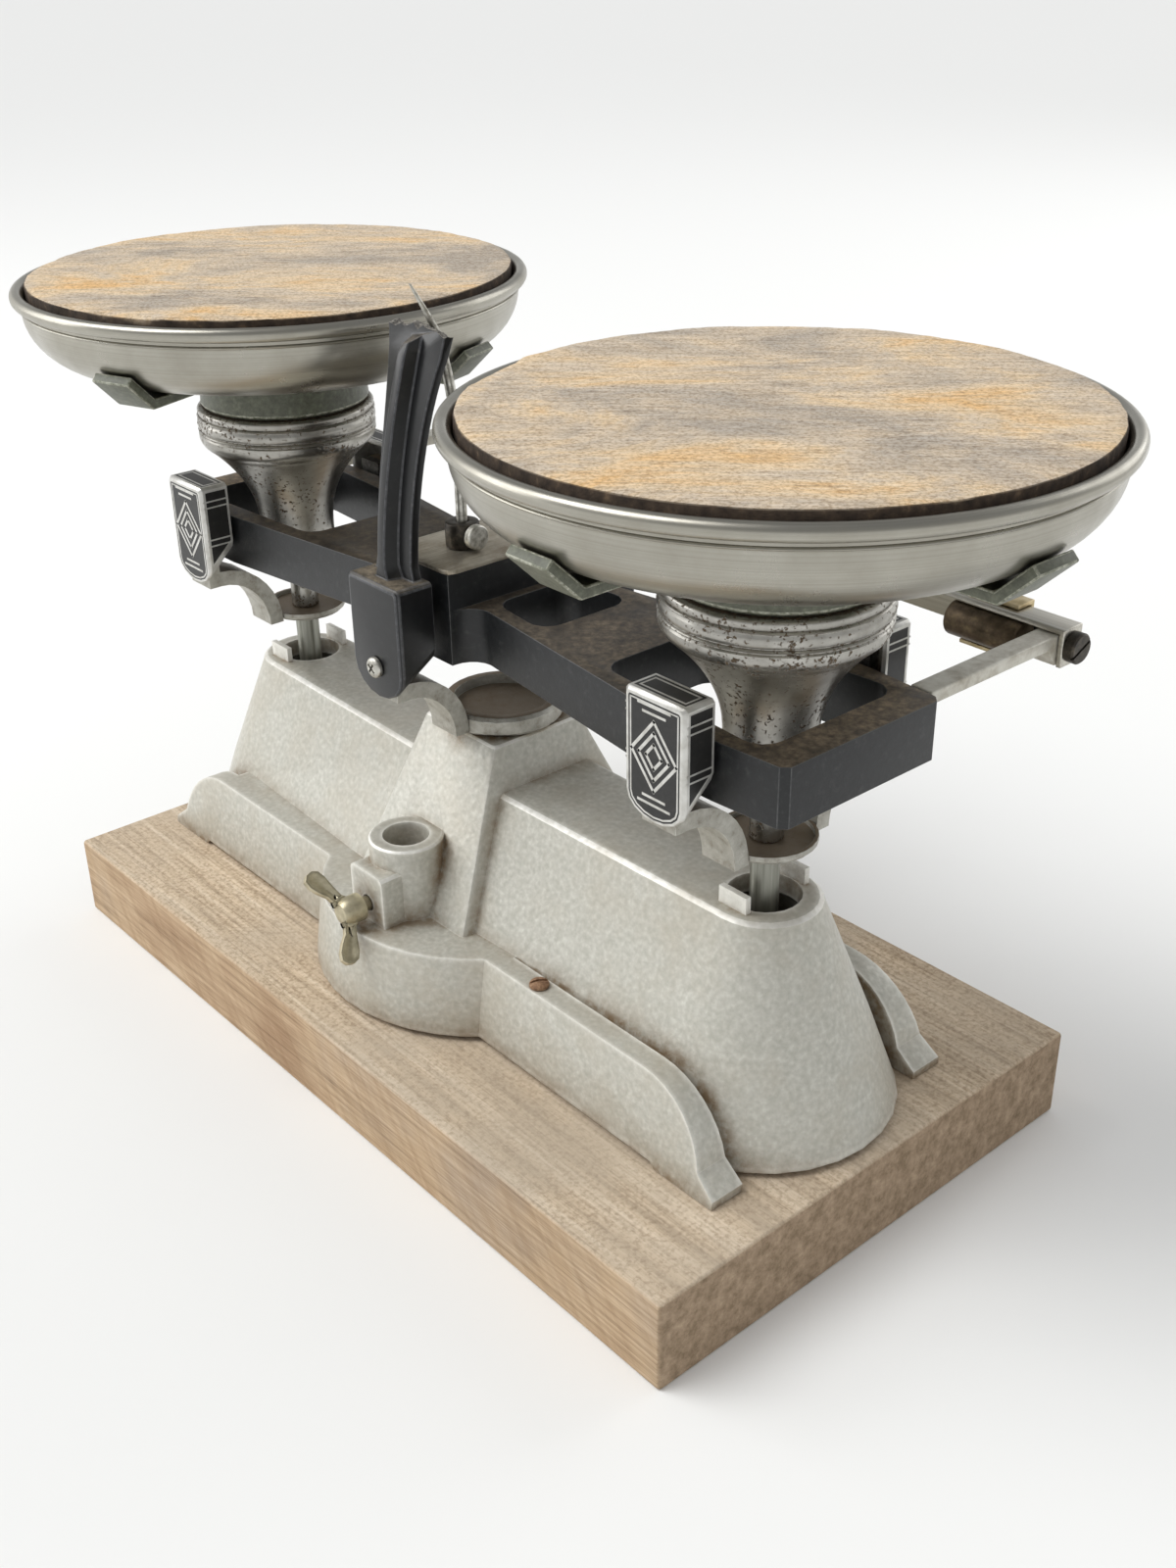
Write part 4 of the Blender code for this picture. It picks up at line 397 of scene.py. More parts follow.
def cut(piece, *cutters, fresh=None):
    """Cuts shapes out of a piece, leaves a fresh finish on the cut faces and takes the cutters away."""
    for cutter in cutters:
        if fresh:
            cutter.data.materials.append(fresh)
        only(piece)
        bite = piece.modifiers.new("bite", "BOOLEAN")
        bite.operation = "DIFFERENCE"
        bite.solver = "EXACT"
        bite.object = cutter
        bite.material_mode = "TRANSFER" if fresh else "INDEX"
        bpy.ops.object.modifier_apply(modifier="bite")
        bpy.data.objects.remove(cutter)


def bar(centre, size, turn=(0.0, 0.0, 0.0)):
    """A plain bar: it cuts a slot or, very thin, stands for a printed line."""
    bpy.ops.object.select_all(action="DESELECT")
    bpy.ops.mesh.primitive_cube_add(size=1.0, location=centre, rotation=turn)
    made = bpy.context.object
    made.scale = size
    bpy.ops.object.transform_apply(location=True, rotation=True, scale=True)
    return made


# Mild steel, turned and never plated: matt brown rust has eaten a fine pitted skin into it.
# Its pits are drawn 1.1 mm wide, coarser than the real ones of a few tenths, so that they show.
rusty_steel = mottled("rusted_mild_steel", 1.1 * mm,
                      [(0.3, "#5b4030"), (0.5, "#8d6c50"), (0.72, "#b39578")], roughness=0.75, metallic=0.2,
                      detail=6.0, ragged=0.7, relief=(0.5, 0.3 * mm))
low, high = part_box("ledge_screw")
middle = (low + high) / 2
dome = (high.x - low.x) / 2
rise = high.z - low.z
slot_width, slot_turn = 0.9 * mm, math.radians(62)
profile = [(0.0, 0.0), (dome, 0.0)]
profile += [(dome * math.cos(t * math.pi / 20), rise * (0.25 + 0.75 * math.sin(t * math.pi / 20)))
            for t in range(10)]
profile.append((0.0, rise))
screw = turned("ledge_screw_head", profile, (middle.x, middle.y, low.z), 48)
cut(screw, bar((middle.x, middle.y, high.z), (dome * 2.4, slot_width, rise), (0.0, 0.0, slot_turn)))
settle(screw, rusty_steel, "rusty_steel", "base", "ledge_screw")

# The wing screw: a pale nickel-plated casting with two swept wings that clamps a rod in the socket.
# Thumbs have worn it yellowish and left dark grime at the roots of the wings.
def dirtied(tree, colour, reach, tones, amount):
    """A colour darkened where the surface is hemmed in, as old dirt that no hand wipes away darkens it."""
    hollow = add(tree, "AmbientOcclusion", {"Distance": reach}, samples=8)
    dark = add(tree, "ValToRGB", {0: hollow.outputs["AO"]}, stops=tones)
    return add(tree, "Mix", {0: amount, 6: colour, 7: dark}, **multiplied)


# Nickel plate, polished once: handling has dulled it to a warm satin, dark where a hollow keeps the dirt.
worn_nickel, tree, shader, at = material("worn_nickel_plate")
wear = add(tree, "TexNoise", {"Vector": at, "Scale": 1 / (5.0 * mm), "Detail": 5.0, "Roughness": 0.6})
wear_tone = add(tree, "ValToRGB", {0: wear}, stops=[(0.3, "#978f76"), (0.55, "#c4bb9f"), (0.8, "#d6d0b8")])
worn = dirtied(tree, wear_tone, 4 * mm, [(0.3, "#554a38"), (0.75, "#ffffff")], 1.0)
wear_bump = add(tree, "Bump", {"Height": wear, "Strength": 0.2, "Distance": 0.3 * mm})
feed(tree, shader, {"Base Color": worn, "Normal": wear_bump, "Metallic": 0.75, "Roughness": 0.4})
low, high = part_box("wing_screw")
hub_reach, ear_middle, ear_growth_share = 5.5 * mm, 4.0 * mm, 0.30
frame_width, slope_width, recess_depth = 0.7 * mm, 0.5 * mm, 0.55 * mm
wing = softened("wing_screw", 0.45 * mm, worn_nickel)
unpicked(wing)
middle = (low + high) / 2
for vertex in wing.data.vertices:
    if math.hypot(vertex.co.x - middle.x, vertex.co.z - middle.z) > hub_reach:
        vertex.co.y += (vertex.co.y - low.y - ear_middle) * ear_growth_share
# Both faces of both ears are sunk a little inside a raised frame.
for face in sorted(wing.data.polygons, key=lambda face: face.area)[-4:]:
    face.select = True
bpy.ops.object.mode_set(mode="EDIT")
bpy.ops.mesh.inset(thickness=frame_width, depth=0.0)
bpy.ops.mesh.inset(thickness=slope_width, depth=-recess_depth)
bpy.ops.mesh.select_mode(type="VERT")
bpy.ops.object.mode_set(mode="OBJECT")
bpy.ops.object.shade_smooth_by_angle(angle=math.radians(60))

# The yoke on the column, the pan carriers and the check pins: small castings in dull grey metal.
# Old oil holds brown dust in every hollow, and the raised edges are rubbed to bare metal.
# Oily grey casting: left as cast and unpainted, half dull and half metallic, brown wherever dust stuck.
grey_casting, tree, shader, at = material("oily_grey_casting")
skin = add(tree, "TexNoise", {"Vector": at, "Scale": 1 / (4.0 * mm), "Detail": 7.0, "Roughness": 0.72})
skin_tone = add(tree, "ValToRGB", {0: skin},
                stops=[(0.30, "#857d70"), (0.45, "#a8a59b"), (0.60, "#b9b7ae"), (0.78, "#cccbc3")])
cast = dirtied(tree, skin_tone, 6 * mm, [(0.25, "#6a553c"), (0.62, "#ffffff")], 0.85)
cast_dust = add(tree, "Mix", {0: facing_up(tree, 0.93, 0.995, 0.8), 6: cast, 7: "#8a7760"}, **mixed)
skin_bump = add(tree, "Bump", {"Height": skin, "Strength": 0.3, "Distance": 0.4 * mm})
feed(tree, shader, {"Base Color": cast_dust, "Normal": skin_bump, "Metallic": 0.4, "Roughness": 0.5})
# The same casting rubbed bare on its rims, which shine a little.
rubbed_casting = mottled("casting_rubbed_bare_on_rims", 2.5 * mm, [(0.32, "#8f8b80"), (0.6, "#cfcec7")],
                         roughness=0.38, metallic=0.7)
softened("centre_yoke", 0.6 * mm, grey_casting, edge=rubbed_casting)
for pan in ("left", "right"):
    softened(pan + "_bow", 0.4 * mm, grey_casting, edge=rubbed_casting)
    nodes[pan + "_check_pin"].material_slots[0].material = grey_casting

# The centre covers: black thermoset mouldings, and on the front one the stump of the index pillar.
# The moulding is glossy where hands touch it, and its broken top is rough and grey.
def blackened(name, tones, dust_tones, gloss, most, bump, scale, middle=1.0):
    """Black moulding or enamel, with brown dust that lies on what faces up, less of it in the middle."""
    made, tree, shader, at = material(name)
    speck = add(tree, "TexNoise", {"Vector": at, "Scale": 1 / scale, "Detail": 8.0, "Roughness": 0.75})
    smear = add(tree, "TexNoise", {"Vector": at, "Scale": 1 / (9 * scale), "Detail": 6.0,
                                   "Roughness": 0.65})
    coat = add(tree, "ValToRGB", {0: speck}, stops=[(0.34, tones[0]), (0.56, tones[1]), (0.78, tones[2])])
    amount = add(tree, "ValToRGB", {0: smear}, stops=[(0.30, most * 0.3), (0.60, most)])
    place = add(tree, "SeparateXYZ", {0: at})
    across = add(tree, "Math", {0: place.outputs["X"]}, operation="ABSOLUTE")
    outward = add(tree, "MapRange", {0: across, 1: 85 * mm, 2: 140 * mm, 3: middle, 4: 1.0})
    amount = add(tree, "Math", {0: amount, 1: outward}, operation="MULTIPLY")
    lies = add(tree, "Math", {0: facing_up(tree, 0.45, 0.98), 1: amount}, operation="MULTIPLY")
    grains = add(tree, "ValToRGB", {0: speck}, stops=[(0.34, 0.55), (0.58, 1.0)])
    share = add(tree, "Math", {0: lies, 1: grains}, operation="MULTIPLY", use_clamp=True)
    dust = add(tree, "ValToRGB", {0: speck}, stops=[(0.3, dust_tones[0]), (0.72, dust_tones[1])])
    coated = add(tree, "Mix", {0: share, 6: coat, 7: dust}, **mixed)
    matt = add(tree, "MapRange", {0: share, 3: gloss, 4: 0.85})
    peel = add(tree, "Bump", {"Height": speck, "Strength": bump, "Distance": 0.35 * mm})
    feed(tree, shader, {"Base Color": coated, "Roughness": matt, "Normal": peel})
    return made


# Black thermoset: pressed in a polished mould, so it is smooth and glossy under the dust.
black_plastic = blackened("black_thermoset_moulding", ("#0d0e0f", "#131416", "#2b2a27"),
                          ("#4f473b", "#a5967e"), 0.3, 0.75, 0.08, 3.0 * mm)
# The same moulding on its edges, painted a lighter grey as a painted highlight running along them.
plastic_edge_highlight = blackened("moulding_painted_highlight_on_edges", ("#2b2c2e", "#46474a", "#6a6966"),
                            ("#5b5347", "#9a8d78"), 0.36, 0.5, 0.1, 2.0 * mm)
# Where it broke, its filler shows as a coarse, matt, grey grain.
# The grain is drawn 0.8 mm wide, coarser than the real filler, so that it shows.
fractured = mottled("broken_thermoset_grain", 0.8 * mm,
                    [(0.34, "#2c2a28"), (0.55, "#77736c"), (0.74, "#b7b2a8")], roughness=0.8, ragged=0.7,
                    relief=(0.6, 0.3 * mm))
# Both covers carry the painted highlight along their rounded edges.
pillar = softened("front_centre_cover", 0.5 * mm, black_plastic, edge=plastic_edge_highlight)
low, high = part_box("front_centre_cover")
middle = (low + high) / 2
broken_drop, block_size, block_height, block_steps = 2.6 * mm, 40 * mm, 12 * mm, 42
lumps_per_metre, lump_height, chips_per_metre, chip_height = 260, 1.5 * mm, 700, 0.7 * mm
bpy.ops.object.select_all(action="DESELECT")
bpy.ops.mesh.primitive_grid_add(x_subdivisions=block_steps, y_subdivisions=block_steps, size=block_size,
                                location=(middle.x, middle.y, high.z - broken_drop))
break_off = bpy.context.object
bpy.ops.object.transform_apply(location=True, rotation=True, scale=True)
bpy.ops.object.mode_set(mode="EDIT")
bpy.ops.mesh.select_all(action="SELECT")
bpy.ops.mesh.extrude_region_move(TRANSFORM_OT_translate={"value": (0.0, 0.0, block_height)})
bpy.ops.mesh.select_all(action="SELECT")
bpy.ops.mesh.normals_make_consistent(inside=False)
bpy.ops.object.mode_set(mode="OBJECT")
for vertex in break_off.data.vertices:
    lump = noise.noise(vertex.co * lumps_per_metre) * lump_height
    vertex.co.z += lump + noise.noise(vertex.co * chips_per_metre) * chip_height
cut(pillar, break_off, fresh=fractured)
softened("rear_centre_cover", 0.5 * mm, black_plastic, edge=plastic_edge_highlight)

# The cover screws: small pan-head machine screws in zinc-plated steel with a cross recess.
# Zinc-plated steel: turned and bright-plated, and now clouded, so its shine comes and goes.
plated_steel, tree, shader, at = material("zinc_plated_steel")
tarnish = add(tree, "TexNoise", {"Vector": at, "Scale": 1 / (2.0 * mm), "Detail": 5.0, "Roughness": 0.65})
tarnish_tone = add(tree, "ValToRGB", {0: tarnish},
                   stops=[(0.3, "#8b887f"), (0.52, "#c2c0b8"), (0.75, "#e0dfd9")])
rubbed = add(tree, "ValToRGB", {0: tarnish}, stops=[(0.3, 0.55), (0.8, 0.25)])
feed(tree, shader, {"Base Color": tarnish_tone, "Roughness": rubbed, "Metallic": 1.0})
cross_width, cross_turn = 0.7 * mm, 35
for side, sign in (("front", -1), ("rear", 1)):
    low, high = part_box(side + "_cover_screw")
    middle = (low + high) / 2
    radius = (high.x - low.x) / 2
    depth = high.y - low.y
    seat = low.y if side == "rear" else high.y
    profile = [(0.0, 0.0), (radius, 0.0)]
    for t in range(9):
        swing = t * math.pi / 16
        profile.append((radius * (0.4 + 0.6 * math.cos(swing)),
                        sign * depth * (0.35 + 0.65 * math.sin(swing))))
    profile.append((0.0, sign * depth))
    head = turned(side + "_cross_screw", profile, (middle.x, seat, middle.z), 48, "Y")
    face = (middle.x, seat + sign * depth, middle.z)
    blade = (radius * 1.15, depth * 1.2, cross_width)
    cut(head, *(bar(face, blade, (0.0, math.radians(turn), 0.0)) for turn in (cross_turn, cross_turn + 90)))
    settle(head, plated_steel, "bright_steel", "base", side + "_cover_screw")

# The beam: an open frame cast in aluminium alloy, stove-enamelled satin black, with a raised hub.
# Brown dust lies on all that faces up, and the corners are rubbed to a lighter grey.
# Satin stoving enamel: sprayed and baked, faintly rough, with thick brown dust near the beam's ends.
# Its 2.4 mm pattern is the clumps of dust; the dust's own grains are too fine to show.
black_enamel = blackened("satin_black_enamel", ("#111214", "#191b1d", "#3d3d3c"), ("#5a4d3c", "#a8957a"),
                         0.4, 0.95, 0.25, 2.4 * mm, middle=0.45)
# The same enamel on the corners, where rubbing has thinned it to grey.
rubbed_enamel = blackened("enamel_rubbed_grey_on_corners", ("#333435", "#4b4c4d", "#73716c"),
                          ("#4c4437", "#85775f"), 0.38, 0.6, 0.2, 1.6 * mm, middle=0.45)
softened("beam_frame", 0.55 * mm, black_enamel, edge=rubbed_enamel)

# The knife edges, their bearings, the check link and its pin: hardened steel, out of sight in the works.
# Tool steel: hardened and ground, so it is grey with a soft mirror.
hard_steel = mottled("hardened_tool_steel", 1.0 * mm, [(0.3, "#5d5b57"), (0.7, "#8f8d88")], roughness=0.35,
                     metallic=1.0, detail=4.0)
hidden = [name for name in nodes if name.endswith(("knife_edge", "bearing")) or name.startswith("check_")]
for name in hidden:
    nodes[name].material_slots[0].material = hard_steel

# The check rods: drawn steel rods that hang from the trays into the towers.
# Drawn steel: pulled through a die, which leaves fine lines along it and a soft shine.
# The lines are drawn 1.1 mm wide; real ones are too fine to show.
drawn_steel, tree, shader, at = material("drawn_steel_rod")
draw_lines = grain(tree, at, (1.111 * mm, 1.111 * mm, 25 * mm), 4.0)
draw_tone = add(tree, "ValToRGB", {0: draw_lines}, stops=[(0.3, "#7a7a70"), (0.7, "#a3a39a")])
feed(tree, shader, {"Base Color": draw_tone, "Metallic": 0.9, "Roughness": 0.42})
for pan in ("left", "right"):
    softened(pan + "_check_rod", 0.2 * mm, drawn_steel, segments=2, smooth=45.0)

# The end covers: silvered castings with black enamelled panels inside bright lines.
# A plain pattern of nested diamonds and bars is printed on each front panel.
# Silver paint on cast metal: sprayed on smooth, pale, with a soft metallic shine.
silvered = mottled("silvered_cover_metal", 3.0 * mm,
                   [(0.3, "#bdbbb4"), (0.55, "#d3d2cd"), (0.8, "#e2e1dd")], roughness=0.32, metallic=0.55)
# Black enamel run into the panels: it dried smooth and has faint grey scuffs.
panel_black = mottled("black_panel_enamel", 2.0 * mm,
                      [(0.4, "#141413"), (0.62, "#201f1e"), (0.85, "#4d483f")], roughness=0.38, detail=7.0,
                      ragged=0.7)
shell_depth, print_height, print_lift = 0.5 * mm, 0.1 * mm, 0.02 * mm
diamond_line, bar_line, side_line, side_margin = 0.85 * mm, 0.7 * mm, 0.5 * mm, 0.6 * mm
pattern_lift = 1.0 * mm


def panelled(piece, direction, widths):
    """Insets the large face that looks one way, again and again, and paints every other band black."""
    unpicked(piece)
    looking = [face for face in piece.data.polygons if face.normal.dot(Vector(direction)) > 0.97]
    outermost = max(face.center.dot(Vector(direction)) for face in looking)
    shell = [face for face in looking if outermost - face.center.dot(Vector(direction)) < shell_depth]
    largest = max(shell, key=lambda face: face.area)
    largest.select = True
    bpy.ops.object.mode_set(mode="EDIT")
    for i, width in enumerate(widths):
        bpy.ops.mesh.inset(thickness=width, depth=0.0)
        piece.active_material_index = (i + 1) % 2
        bpy.ops.object.material_slot_assign()
    bpy.ops.mesh.select_mode(type="VERT")
    bpy.ops.object.mode_set(mode="OBJECT")


def raised_line(points, width, sign, y, x):
    """A thin printed line on a cover's front panel, along points of (across, up)."""
    strips = []
    for start, end in zip(points, points[1:]):
        run = Vector(end) - Vector(start)
        middle = (Vector(start) + Vector(end)) / 2
        turn = -math.atan2(run.y, run.x)
        strips.append(bar((x + middle.x, y + sign * print_lift, middle.y),
                          (run.length + width * 0.8, print_height, width), (0.0, turn, 0.0)))
    return strips


for pan in ("left", "right"):
    for side, sign in (("front", -1), ("rear", 1)):
        name = pan + "_" + side + "_cover"
        low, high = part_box(name)
        cover = softened(name, 0.15 * mm, silvered, segments=2)
        cover.data.materials.append(panel_black)
        panelled(cover, (0, sign, 0), (0.6 * mm, 0.5 * mm, 0.5 * mm))
        for across in (-1, 1):
            panelled(cover, (across, 0, 0), (0.7 * mm,))
        panelled(cover, (0, 0, 1), (0.7 * mm, 0.8 * mm, 0.6 * mm))
        only(cover)
        bpy.ops.object.shade_smooth_by_angle(angle=math.radians(25))
        middle = (low + high) / 2
        x = middle.x
        z = middle.z + pattern_lift
        y = low.y if sign < 0 else high.y
        half_width = (high.x - low.x) / 2
        lines = []
        for share in (0.74, 0.50, 0.26):
            reach = half_width * share
            tall = reach * 1.2
            lines += raised_line([(0.0, z + tall), (reach, z), (0.0, z - tall), (-reach, z),
                                  (0.0, z + tall)], diamond_line, sign, y, x)
        for step, share in ((1.06, 0.36), (1.24, 0.52)):
            for half in (-1, 1):
                up = z + half * half_width * step
                lines += raised_line([(-half_width * share, up), (half_width * share, up)], bar_line, sign,
                                     y, x)
        # Two pairs of bright lines split the black panel of each side.
        for across in (-1, 1):
            for share in (0.80, 0.86, 0.42, 0.48):
                flank = low.x if across < 0 else high.x
                lines.append(bar((flank + across * print_lift, middle.y, low.z + (high.z - low.z) * share),
                                 (print_height, (high.y - low.y) - side_margin * 2, side_line)))
        only(lines[0])
        for strip in lines:
            strip.select_set(True)
        bpy.ops.object.join()
        pattern = bpy.context.object
        pattern.name = name + "_pattern"
        settle(pattern, silvered, "cover_metal", pan + "_carrier")

# The pan columns: turned steel trumpets with three rings at the head, plated bright.
# The plating is pitted and brown rust creeps out of the grooves and over the flare.
# Pitted chrome: polished and plated bright, now clouded, with matt brown rust in the pits and grooves.
pitted_chrome, tree, shader, at = material("pitted_chrome_plate")
pits = add(tree, "TexNoise", {"Vector": at, "Scale": 1 / (1.2 * mm), "Detail": 4.0, "Roughness": 0.6})
clouds = add(tree, "TexNoise", {"Vector": at, "Scale": 1 / (12.0 * mm), "Detail": 6.0, "Roughness": 0.65})
hollow = add(tree, "AmbientOcclusion", {"Distance": 3 * mm}, samples=8)
groove = add(tree, "ValToRGB", {0: hollow.outputs["AO"]}, stops=[(0.3, 0.35), (0.7, 0.0)])
blurred = add(tree, "Mix", {0: 0.38, 2: pits, 3: clouds}, data_type="FLOAT")
rusting = add(tree, "Math", {0: blurred, 1: groove}, operation="ADD")
rust_share = add(tree, "ValToRGB", {0: rusting}, stops=[(0.555, 0.0), (0.60, 1.0)])
plate = add(tree, "ValToRGB", {0: clouds}, stops=[(0.3, "#8a8780"), (0.7, "#bdbbb5")])
brown = add(tree, "ValToRGB", {0: pits}, stops=[(0.3, "#241d15"), (0.55, "#4a3c2b"), (0.75, "#6f5e48")])
column_colour = add(tree, "Mix", {0: rust_share, 6: plate, 7: brown}, **mixed)
still_metal = add(tree, "MapRange", {0: rust_share, 3: 1.0, 4: 0.1})
dullness = add(tree, "MapRange", {0: rust_share, 3: 0.31, 4: 0.75})
pit_bump = add(tree, "Bump", {"Height": rust_share, "Strength": 0.5, "Distance": 0.15 * mm}, invert=True)
feed(tree, shader, {"Base Color": column_colour, "Metallic": still_metal, "Roughness": dullness,
                    "Normal": pit_bump})

pan_x = {"left": -tower_x, "right": tower_x}
column_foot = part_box("left_pan_column")[0].z
column_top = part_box("left_pan_column")[1].z
stem, neck, flare_out, head_height, corner = 4.6 * mm, 12.4 * mm, 13.3 * mm, 14.0 * mm, 0.6 * mm
shoulder, flare_base, flare_steps = 137.0 * mm, 142.0 * mm, 20
head_base = column_top - head_height
profile = [(0.0, column_foot), (stem, column_foot), (stem, shoulder), (neck - corner, shoulder),
           (neck, shoulder + corner), (neck, flare_base)]
for step in range(1, flare_steps + 1):
    share = step / flare_steps
    rise = (head_base - corner - flare_base) * share ** 0.86
    profile.append((neck + flare_out * share ** 1.85, flare_base + rise))
# The lowest band curves in under the head; a fine bead stands between each band and the next.
for out, up in ((26.1, 0.0), (27.0, 0.5), (28.0, 1.4), (28.8, 2.6), (29.2, 3.9), (29.2, 5.2), (28.8, 5.7),
                (28.8, 5.9), (29.1, 6.1), (29.3, 6.4), (29.1, 6.7), (28.8, 6.9), (28.8, 7.1), (29.2, 7.6),
                (29.4, 8.6), (29.2, 9.8), (28.8, 10.4), (28.8, 10.6), (29.1, 10.8), (29.3, 11.1),
                (29.1, 11.4), (28.7, 11.6), (28.7, 11.8), (29.0, 12.4), (29.0, 13.2), (28.7, 13.7),
                (28.2, 14.0)):
    profile.append((out * mm, head_base + up * mm))
profile.append((0.0, column_top))
for pan, x in pan_x.items():
    column = turned(pan + "_trumpet", profile, (x, 0.0, 0.0))
    settle(column, pitted_chrome, "pitted_chrome", pan + "_carrier", pan + "_pan_column")

# The spiders: iron castings painted green-grey, each a collar with four arms whose tips hold the dish.
# The paint is chipped along the edges of the tips and dull with dust.
# Green-grey oil paint: brushed on in one thick coat, with faint brush marks and a dusty sheen.
green_paint, tree, shader, at = material("green_grey_brushed_paint")
chips = add(tree, "TexNoise", {"Vector": at, "Scale": 1 / (2.0 * mm), "Detail": 7.0, "Roughness": 0.7})
coat = add(tree, "ValToRGB", {0: chips}, stops=[(0.3, "#45473a"), (0.55, "#5f6252"), (0.78, "#7d7f6c")])
coat_dark = dirtied(tree, coat, 8 * mm, [(0.3, "#6c6350"), (0.8, "#ffffff")], 0.8)
brush_bump = add(tree, "Bump", {"Height": chips, "Strength": 0.3, "Distance": 0.3 * mm})
feed(tree, shader, {"Base Color": coat_dark, "Normal": brush_bump, "Roughness": 0.42})
# The same paint on the edges, chipped through to pale primer and metal.
chipped_paint = mottled("green_paint_chipped_on_edges", 1.4 * mm,
                        [(0.40, "#6a6c5c"), (0.55, "#9c9d8e"), (0.66, "#bdbcae")], roughness=0.45,
                        metallic=0.3, detail=6.0, ragged=0.7)
for pan in pan_x:
    softened(pan + "_spider", 0.5 * mm, green_paint, edge=chipped_paint)

# The dishes: aluminium discs spun on a lathe over a former, with the rim rolled over and a bead below it.
# The lathe leaves fine lines all round, and years of handling leave dull patches.
# Spun aluminium: pressed over a former while turning, so fine rings cross its soft reflections.
# The rings are drawn 0.55 mm wide, coarser than the real tool's marks, so that they show.
spun_aluminium, tree, shader, at = material("spun_aluminium")
split = add(tree, "SeparateXYZ", {0: at})
folded = add(tree, "Math", {0: split.outputs["X"]}, operation="ABSOLUTE")
centred = add(tree, "Math", {0: folded, 1: pan_x["right"]}, operation="SUBTRACT")
flat = add(tree, "CombineXYZ", {0: centred, 1: split.outputs["Y"]})
reach = add(tree, "VectorMath", {0: flat}, operation="LENGTH")
lathe = add(tree, "CombineXYZ", {0: reach, 1: split.outputs["Z"]})
lines = add(tree, "TexNoise", {"Vector": lathe, "Scale": 1 / (0.55 * mm), "Detail": 4.0, "Roughness": 0.6},
            noise_dimensions="2D")
cloud = add(tree, "TexNoise", {"Vector": at, "Scale": 1 / (18 * mm), "Detail": 6.0, "Roughness": 0.65})
metal = add(tree, "ValToRGB", {0: lines}, stops=[(0.3, "#a3a096"), (0.7, "#b1aea4")])
dull = add(tree, "ValToRGB", {0: cloud}, stops=[(0.40, 0.0), (0.75, 0.45)])
aluminium = add(tree, "Mix", {0: dull, 6: metal, 7: "#8f8a7d"}, **mixed)
gloss = add(tree, "MapRange", {0: cloud, 1: 0.3, 2: 0.75, 3: 0.24, 4: 0.42})
line_bump = add(tree, "Bump", {"Height": lines, "Strength": 0.1, "Distance": 0.1 * mm})
feed(tree, shader, {"Base Color": aluminium, "Roughness": gloss, "Normal": line_bump, "Metallic": 1.0})

dish_bottom, roll_z, roll, roll_centre = 201.5 * mm, 223.2 * mm, 2.1 * mm, 79.3 * mm
wall_radius, flat_radius, wall, bead = 78.5 * mm, 58.4 * mm, 1.2 * mm, 0.5 * mm
curve_top = roll_z - roll * 2
profile = [(0.0, dish_bottom)]
for step in range(15):
    swing = math.pi / 2 * step / 14
    profile.append((flat_radius + (wall_radius - flat_radius) * math.sin(swing),
                    curve_top - (curve_top - dish_bottom) * math.cos(swing)))
profile += [(wall_radius + bead * 0.7, curve_top + bead * 0.4), (wall_radius + bead, curve_top + bead),
            (wall_radius + bead * 0.7, curve_top + bead * 1.6), (wall_radius, curve_top + bead * 2)]
start = math.pi + math.asin(math.sqrt(roll ** 2 - (roll_centre - wall_radius) ** 2) / roll)
for step in range(21):
    swing = start - 2 * math.pi + (3 * math.pi - start) * step / 20
    profile.append((roll_centre + roll * math.cos(swing), roll_z + roll * math.sin(swing)))
for step in range(14, -1, -1):
    swing = math.pi / 2 * step / 14
    profile.append((flat_radius + (wall_radius - flat_radius - wall) * math.sin(swing),
                    curve_top - (curve_top - dish_bottom - wall) * math.cos(swing)))
profile.append((0.0, dish_bottom + wall))
for pan, x in pan_x.items():
    dish = turned(pan + "_spun_dish", profile, (x, 0.0, 0.0), 160)
    settle(dish, spun_aluminium, "satin_aluminium", pan + "_dish", pan + "_dish")

# The wooden plates: rough-sawn pine discs laid in the dishes, cut out by hand and left unsanded.
# Their tops are orange where the wood is fresh and grey where it weathered; the sawn rim is nearly black.
# Rough-sawn pine: the saw tore its fibres up, so it is quite matt, hairy and streaked along the grain.
# Its tufts of torn fibre are 1 mm wide and 4 to 17 mm long; the single fibres are too fine to show.
rough_wood, tree, shader, at = material("rough_sawn_pine")
along = add(tree, "Mapping", {"Vector": at, "Rotation": (0.0, 0.0, math.radians(-46))})
fibre = grain(tree, along, (16.67 * mm, 1.2195 * mm, 3.333 * mm), 8.0, 0.8, 0.6)
torn = grain(tree, along, (4.167 * mm, 1.0526 * mm, 2 * mm), 5.0, 0.7, 0.8)
patch = grain(tree, along, (58.8 * mm, 33.33 * mm, 50 * mm), 5.0, 0.7, 0.5)
patch_tone = add(tree, "ValToRGB", {0: patch},
                 stops=[(0.36, "#bdb4a8"), (0.49, "#dccdb8"), (0.57, "#ecd6b5"), (0.68, "#f0c890")])
fibre_tone = add(tree, "ValToRGB", {0: fibre},
                 stops=[(0.30, "#998e80"), (0.46, "#e9e4dc"), (0.60, "#ffffff")])
fibrous = add(tree, "Mix", {0: 0.8, 6: patch_tone, 7: fibre_tone}, **multiplied)
torn_tone = add(tree, "ValToRGB", {0: torn}, stops=[(0.30, "#7b6c5b"), (0.42, "#ffffff")])
ragged = add(tree, "Mix", {0: 0.7, 6: fibrous, 7: torn_tone}, **multiplied)
fuzz = add(tree, "TexNoise", {"Vector": at, "Scale": 1 / (0.9 * mm), "Detail": 4.0, "Roughness": 0.7})
fuzz_tone = add(tree, "ValToRGB", {0: fuzz}, stops=[(0.36, "#b8ab9b"), (0.56, "#ffffff")])
sawn_top = add(tree, "Mix", {0: 0.7, 6: ragged, 7: fuzz_tone}, **multiplied)
